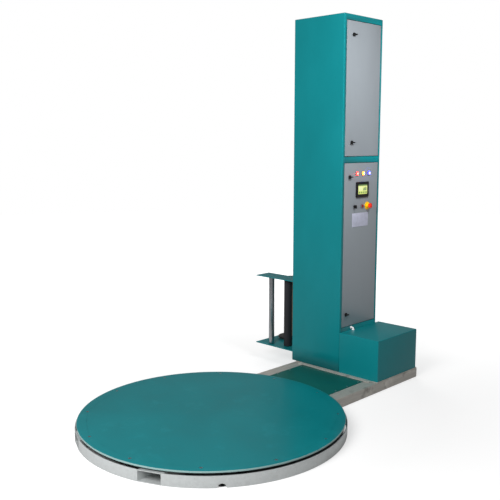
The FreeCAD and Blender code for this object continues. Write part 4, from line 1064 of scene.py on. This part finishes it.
class WRAPPER_OT_screen(bpy.types.Operator):
    """Operator screen in its bezel, and the blank plate below the buttons"""
    bl_idname = "wrapper.screen"
    bl_label = "Operator Screen"

    def execute(self, context):
        low, high = corners("hmi_bezel")
        glass_low, glass_high = corners("hmi_screen")
        steps, t, edge = 6, quarter(4), 0.0026
        outer = rectangle(low[0], high[0], low[2], high[2], 0.007, steps)
        window = rectangle(glass_low[0], glass_high[0], glass_low[2], glass_high[2], 0.005, steps)
        front = low[1]
        rims = narrowed(outer, np.concatenate([[0.0], edge * (1 - np.cos(t))]))
        rims_y = np.concatenate([[FACE_Y], front + edge * (1 - np.sin(t))])
        inner = np.stack([narrowed(window, [-0.0012])[0], window, window])
        inner_y = np.array([front, front + 0.0010, front + 0.005])
        loops = np.concatenate([stood(rims, rims_y, "Y"), stood(inner, inner_y, "Y")])
        box_low, box_high = low[0] + 0.010, high[0] - 0.010
        back = slab(rectangle(box_low, box_high, low[2] + 0.010, high[2] - 0.010, 0.003), FACE_Y - 0.001,
                    high[1], 0.001, "Y")
        piece("screen_surround", [skin(loops), back], "lower_door", "black_plastic", ["hmi_bezel"])
        pane = slab(rectangle(glass_low[0], glass_high[0], glass_low[2], glass_high[2], 0.005, steps),
                    glass_low[1], glass_high[1], 0.0010, "Y", 4)
        piece("screen_pane", [pane], "lower_door", "screen_glow", ["hmi_screen"])
        low, high = corners("name_plate")
        plate = slab(rectangle(low[0], high[0], low[2], high[2], 0.006, 6), low[1], high[1], 0.0006, "Y")
        piece("blank_plate", [plate], "lower_door", "label_plate", ["name_plate"])
        return {"FINISHED"}


class WRAPPER_OT_film_rollers(bpy.types.Operator):
    """Film mandrel with its core tube and the two upright rollers of the carriage"""
    bl_idname = "wrapper.film_rollers"
    bl_label = "Film Rollers"

    def execute(self, context):
        low, high, x, y = centred("film_mandrel", (0, 1))
        foot, top = low[2], high[2]
        hub = [(0.0121, foot), (0.1, foot), (0.1, foot + 0.008), (0.040, foot + 0.008),
               (0.040, foot + 0.0115), (0.0121, foot + 0.0115)]
        flange = turned(rounded(hub, [0.0004, 0.002, 0.002, 0.002, 0.001, 0.0004], 3), (x, y), around=True)
        plug = turned(rounded([(0.0121, top - 0.012), (0.0335, top - 0.012), (0.0335, top - 0.0008),
                               (0.0121, top - 0.0008)],
                              [0.0004, 0.0008, 0.0015, 0.0008], 3), (x, y), around=True)
        cap = turned(softened([(0, top - 0.006), (0.0118, top - 0.006), (0.0118, top - 0.001),
                               (0, top - 0.001)], [0.0004] * 4, 2),
                     (x, y), count=32)
        piece("mandrel_flange", [flange, plug, cap], "film_mandrel", "black_plastic")
        core = collar((x, y), 0.0339, 0.0378, foot + 0.012, top, 0.0012, count=64)
        piece("mandrel_core", [core], "film_mandrel", "core_tube", ["film_mandrel"])
        for name, body, slot in (("tension_roller", "tension_roller", "roller_rubber"),
                                 ("guide_roller", "guide_roller", "machined_steel")):
            low, high, x, y = centred(name, (0, 1))
            radius = (high[0] - low[0]) / 2
            piece(name + "_sleeve", [collar((x, y), 0.00805, radius, low[2], high[2], 0.0018)], body, slot,
                  [name])
        return {"FINISHED"}


class WRAPPER_OT_chains(bpy.types.Operator):
    """Roller chains of the table drive and the carriage lift"""
    bl_idname = "wrapper.chains"
    bl_label = "Chains"

    def execute(self, context):
        pitch = CHAIN_PITCH
        big, small = (pitch / (2 * math.sin(math.pi / teeth)) for teeth in (TABLE_TEETH, SMALL_TEETH))
        drive = centred("drive_sprocket", (0, 1, 2))[2:]
        reach, heading = math.hypot(drive[0], drive[1]), math.atan2(drive[1], drive[0])
        flat, lean = self.track(big, small, reach, pitch)
        c, n = math.cos(heading), math.sin(heading)
        place = np.column_stack([flat @ [c, -n], flat @ [n, c], np.full(len(flat), 0.050)])
        along = np.column_stack([np.cos(lean + heading), np.sin(lean + heading), np.zeros(len(lean))])
        piece("drive_links", [self.links(place, along, np.array([0.0, 0.0, 1.0]), pitch)], "base_and_mast",
              "dark_steel", ["drive_chain"])
        low = centred("lift_bottom_sprocket", (0, 1, 2))[2:]
        top = centred("lift_top_sprocket")[3]
        flat, lean = self.track(small, small, top - low[2], pitch)
        place = np.column_stack([np.full(len(flat), low[0]), low[1] + flat[:, 1], low[2] + flat[:, 0]])
        along = np.column_stack([np.zeros(len(lean)), np.sin(lean), np.cos(lean)])
        piece("lift_links", [self.links(place, along, np.array([1.0, 0.0, 0.0]), pitch)], "base_and_mast",
              "dark_steel", ["lift_chain"])
        return {"FINISHED"}

    def track(self, first, second, reach, pitch):
        """Belt line round two circles on the x axis: an arc, a common tangent, an arc and a tangent,
        read at equal steps."""
        tilt = math.asin((first - second) / reach)
        straight = reach * math.cos(tilt)
        wide, narrow = first * (math.pi + 2 * tilt), second * (math.pi - 2 * tilt)
        total = wide + narrow + 2 * straight
        count = 2 * int(round(total / pitch / 2))
        run = np.arange(count) * total / count
        start = math.pi / 2 - tilt
        a = start + np.minimum(run, wide) / first
        u = np.clip(run - wide, 0, straight)
        b = -start + np.clip(run - wide - straight, 0, narrow) / second
        v = np.clip(run - wide - straight - narrow, 0, straight)
        leg = np.searchsorted(np.cumsum([wide, straight, narrow]), run, side="right")
        one = first * np.stack([np.cos(a), np.sin(a)], 1)
        out = np.array([math.cos(tilt), math.sin(tilt)])
        foot = first * np.array([math.cos(-start), math.sin(-start)])
        two = foot + u[:, None] * out
        three = np.array([reach, 0]) + second * np.stack([np.cos(b), np.sin(b)], 1)
        head = np.array([reach, 0]) + second * np.array([math.cos(start), math.sin(start)])
        four = head + v[:, None] * np.array([-math.cos(tilt), math.sin(tilt)])
        places = np.choose(leg[:, None], [one, two, three, four])
        lean = np.choose(leg,
                         [a + math.pi / 2, np.full(count, tilt), b + math.pi / 2,
                          np.full(count, math.pi - tilt)])
        return places, lean

    def links(self, place, along, across, pitch):
        """One eight-sided roller at each pin and two plates to the next pin, closer together on every
        other link."""
        count = len(place)
        side = np.cross(across, along)
        angle = np.arange(8) * math.pi / 4
        ring = 0.0042 * (np.cos(angle)[None, :, None] * along[:, None] + np.sin(angle)[None, :,
                                                                                       None] * side[:, None])
        rollers = place[:, None, None] + ring[:, None] + np.array([-0.0044, 0.0044])[None, :, None,
                                                                                     None] * across
        step = np.roll(place, -1, 0) - place
        step = step / np.linalg.norm(step, axis=1, keepdims=True)
        edge = np.cross(across, step)
        outline = np.array([(-0.25, 0.0), (-0.18, 0.19), (0.0, 0.25), (0.5, 0.18), (1.0, 0.25), (1.18, 0.19),
                            (1.25, 0.0),
                            (1.18, -0.19), (1.0, -0.25), (0.5, -0.18), (0.0, -0.25), (-0.18, -0.19)]) * pitch
        shape = outline[None, :, 0, None] * step[:, None] + outline[None, :, 1, None] * edge[:, None]
        offset = np.where(np.arange(count) % 2, 0.0024, 0.0038)
        points, faces = [rollers.reshape(-1, 3)], prisms(count, 8)
        for way in (-1, 1):
            layers = np.stack([offset - 0.0006, offset + 0.0006], 1) * way
            plates = place[:, None, None] + shape[:, None] + layers[:, :, None, None] * across
            faces += prisms(count, len(outline), sum(map(len, points)))
            points.append(plates.reshape(-1, 3))
        return np.concatenate(points), faces


class WRAPPER_OT_carried(bpy.types.Operator):
    """Finish on every frame piece that is shown as it is"""
    bl_idname = "wrapper.carried"
    bl_label = "Frame Finishes"

    def execute(self, context):
        for name, nodes in CARRIED.items():
            for node in nodes:
                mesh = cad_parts[node].data
                mesh.materials.clear()
                mesh.materials.append(finish(name))
        plain = [n for n,
                 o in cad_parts.items() if not o.hide_render and n not in sum(CARRIED.values(), [])]
        if plain:
            raise RuntimeError(f"no finish for {plain}")
        return {"FINISHED"}


class WRAPPER_OT_stage(bpy.types.Operator):
    """Pale floor, white surroundings, soft lights and the camera"""
    bl_idname = "wrapper.stage"
    bl_label = "Stage"

    def execute(self, context):
        stage = context.scene.wrapper_stage
        self.floor(stage)
        self.lamp("key_light", (-2.6, -0.7, 2.65), (1.2, 0.1, 1.45), 2.4, stage.key_power, shine=False)
        self.lamp("key_shine", (-2.6, -0.7, 2.65), (1.2, 0.1, 1.45), 2.4, stage.shine_power, light_up=False)
        self.lamp("door_light", (1.0, -1.5, 3.1), (1.45, 0.0, 1.85), 0.7, stage.door_power, 74.0, shine=False)
        self.lamp("back_light", (4.4, 3.2, 2.8), (1.4, 0.1, 1.1), 3.0, stage.back_power, shine=False)
        self.surroundings(stage)
        view = bpy.data.cameras.new("camera")
        view.lens, view.sensor_width, view.clip_end = stage.lens, 36.0, 60.0
        camera = bpy.data.objects.new("camera", view)
        bpy.context.scene.collection.objects.link(camera)
        heading, pitch = stage.heading, stage.pitch
        ahead = Vector((math.cos(pitch) * math.cos(heading), math.cos(pitch) * math.sin(heading),
                        math.sin(pitch)))
        right = ahead.cross(Vector((0, 0, 1))).normalized()
        up = right.cross(ahead)
        turn = Matrix((right, up, -ahead)).transposed().to_4x4()
        camera.matrix_world = Matrix.Translation(Vector(stage.camera_place)) @ turn
        context.scene.camera = camera
        return {"FINISHED"}

    def surroundings(self, stage):
        """White behind everything; the light that it gives is weaker than it looks."""
        world = bpy.data.worlds.new("even_light")
        world.use_nodes = True
        tree = world.node_tree
        seen = tree.nodes.new("ShaderNodeLightPath").outputs["Is Camera Ray"]
        strength = tree.nodes.new("ShaderNodeMapRange")
        strength.inputs["To Min"].default_value, strength.inputs["To Max"].default_value = stage.sky, 1.0
        tree.links.new(seen, strength.inputs["Value"])
        tree.links.new(strength.outputs["Result"], tree.nodes["Background"].inputs["Strength"])
        tree.nodes["Background"].inputs["Color"].default_value = (1.0, 1.0, 1.0, 1)
        bpy.context.scene.world = world
        bpy.context.scene.view_settings.view_transform = "Standard"

    def floor(self, stage):
        """Flat disc; its own light grows with the distance from the machine.

        The camera sees that light in full, and the pieces get a fifth of it.
        """
        points, faces = turned([(0.0, -0.0005), (4.0, -0.0005), (FLOOR_RADIUS, -0.0005)], FLOOR_CENTRE,
                               count=96)
        mesh = bpy.data.meshes.new("floor")
        mesh.from_pydata(points.tolist(), [], faces[:-2])
        floor = bpy.data.objects.new("floor", mesh)
        bpy.context.scene.collection.objects.link(floor)
        pale = Finish("pale_floor", (0.42, 0.42, 0.42), 0.9, specular=0.05)
        pale.varied(0.01, 0.7)
        away = pale.reach("X", "Y", FLOOR_CENTRE)
        outside = pale.spread(pale.reach("X", "Y"), float(RING_HIGH[1]) - 0.03, float(RING_HIGH[1]) - 0.006)
        seen = pale.add("ShaderNodeLightPath").outputs["Is Camera Ray"]
        glow = pale.maths("MULTIPLY", outside, pale.spread(away, 1.1, 4.0, 0.62, stage.floor_glow))
        glow = pale.maths("MULTIPLY", glow, pale.spread(seen, 0.0, 1.0, 0.2, 1.0))
        pale.shader.inputs["Emission Color"].default_value = (1, 1, 1, 1)
        pale.link(glow, pale.shader.inputs["Emission Strength"])
        mesh.materials.append(pale.material)

    def lamp(self, name, place, target, size, power, spread=180.0, shine=True, light_up=True):
        """Round area light turned to its target; shine mirrors it in the pieces, light_up lets it
        light them."""
        light = bpy.data.lights.new(name, "AREA")
        light.shape, light.size, light.energy, light.spread = "DISK", size, power, math.radians(spread)
        lamp = bpy.data.objects.new(name, light)
        lamp.location = place
        lamp.rotation_euler = (Vector(target) - Vector(place)).to_track_quat("-Z", "Y").to_euler()
        lamp.visible_camera, lamp.visible_glossy, lamp.visible_diffuse = False, shine, light_up
        bpy.context.scene.collection.objects.link(lamp)


class WRAPPER_PT_panel(bpy.types.Panel):
    """Sidebar list of the wrapper's pieces and settings"""
    bl_idname = "WRAPPER_PT_panel"
    bl_label = "Pallet Wrapper"
    bl_space_type = "VIEW_3D"
    bl_region_type = "UI"
    bl_category = "Wrapper"

    def draw(self, context):
        for operator in OPERATORS:
            self.layout.operator(operator.bl_idname)
        for group in ("wrapper_sizes", "wrapper_colours", "wrapper_stage"):
            settings = getattr(context.scene, group)
            column = self.layout.column()
            for name in settings.bl_rna.properties.keys():
                if name not in ("rna_type", "name"):
                    column.prop(settings, name)


OPERATORS = (WRAPPER_OT_turntable, WRAPPER_OT_ring, WRAPPER_OT_feet, WRAPPER_OT_arm, WRAPPER_OT_drive_cover,
             WRAPPER_OT_mast, WRAPPER_OT_doors, WRAPPER_OT_latches, WRAPPER_OT_lamps, WRAPPER_OT_buttons,
             WRAPPER_OT_screen, WRAPPER_OT_film_rollers, WRAPPER_OT_chains, WRAPPER_OT_carried,
             WRAPPER_OT_stage)
GROUPS = (WrapperSizes, WrapperColours, WrapperStage)


def register():
    for item in (*GROUPS, *OPERATORS, WRAPPER_PT_panel):
        bpy.utils.register_class(item)
    bpy.types.Scene.wrapper_sizes = PointerProperty(type=WrapperSizes)
    bpy.types.Scene.wrapper_colours = PointerProperty(type=WrapperColours)
    bpy.types.Scene.wrapper_stage = PointerProperty(type=WrapperStage)


def unregister():
    del bpy.types.Scene.wrapper_stage, bpy.types.Scene.wrapper_colours, bpy.types.Scene.wrapper_sizes
    for item in reversed((*GROUPS, *OPERATORS, WRAPPER_PT_panel)):
        bpy.utils.unregister_class(item)


def main():
    register()
    for operator in OPERATORS:
        family, name = operator.bl_idname.split(".")
        getattr(getattr(bpy.ops, family), name)()


if __name__ == "__main__":
    main()
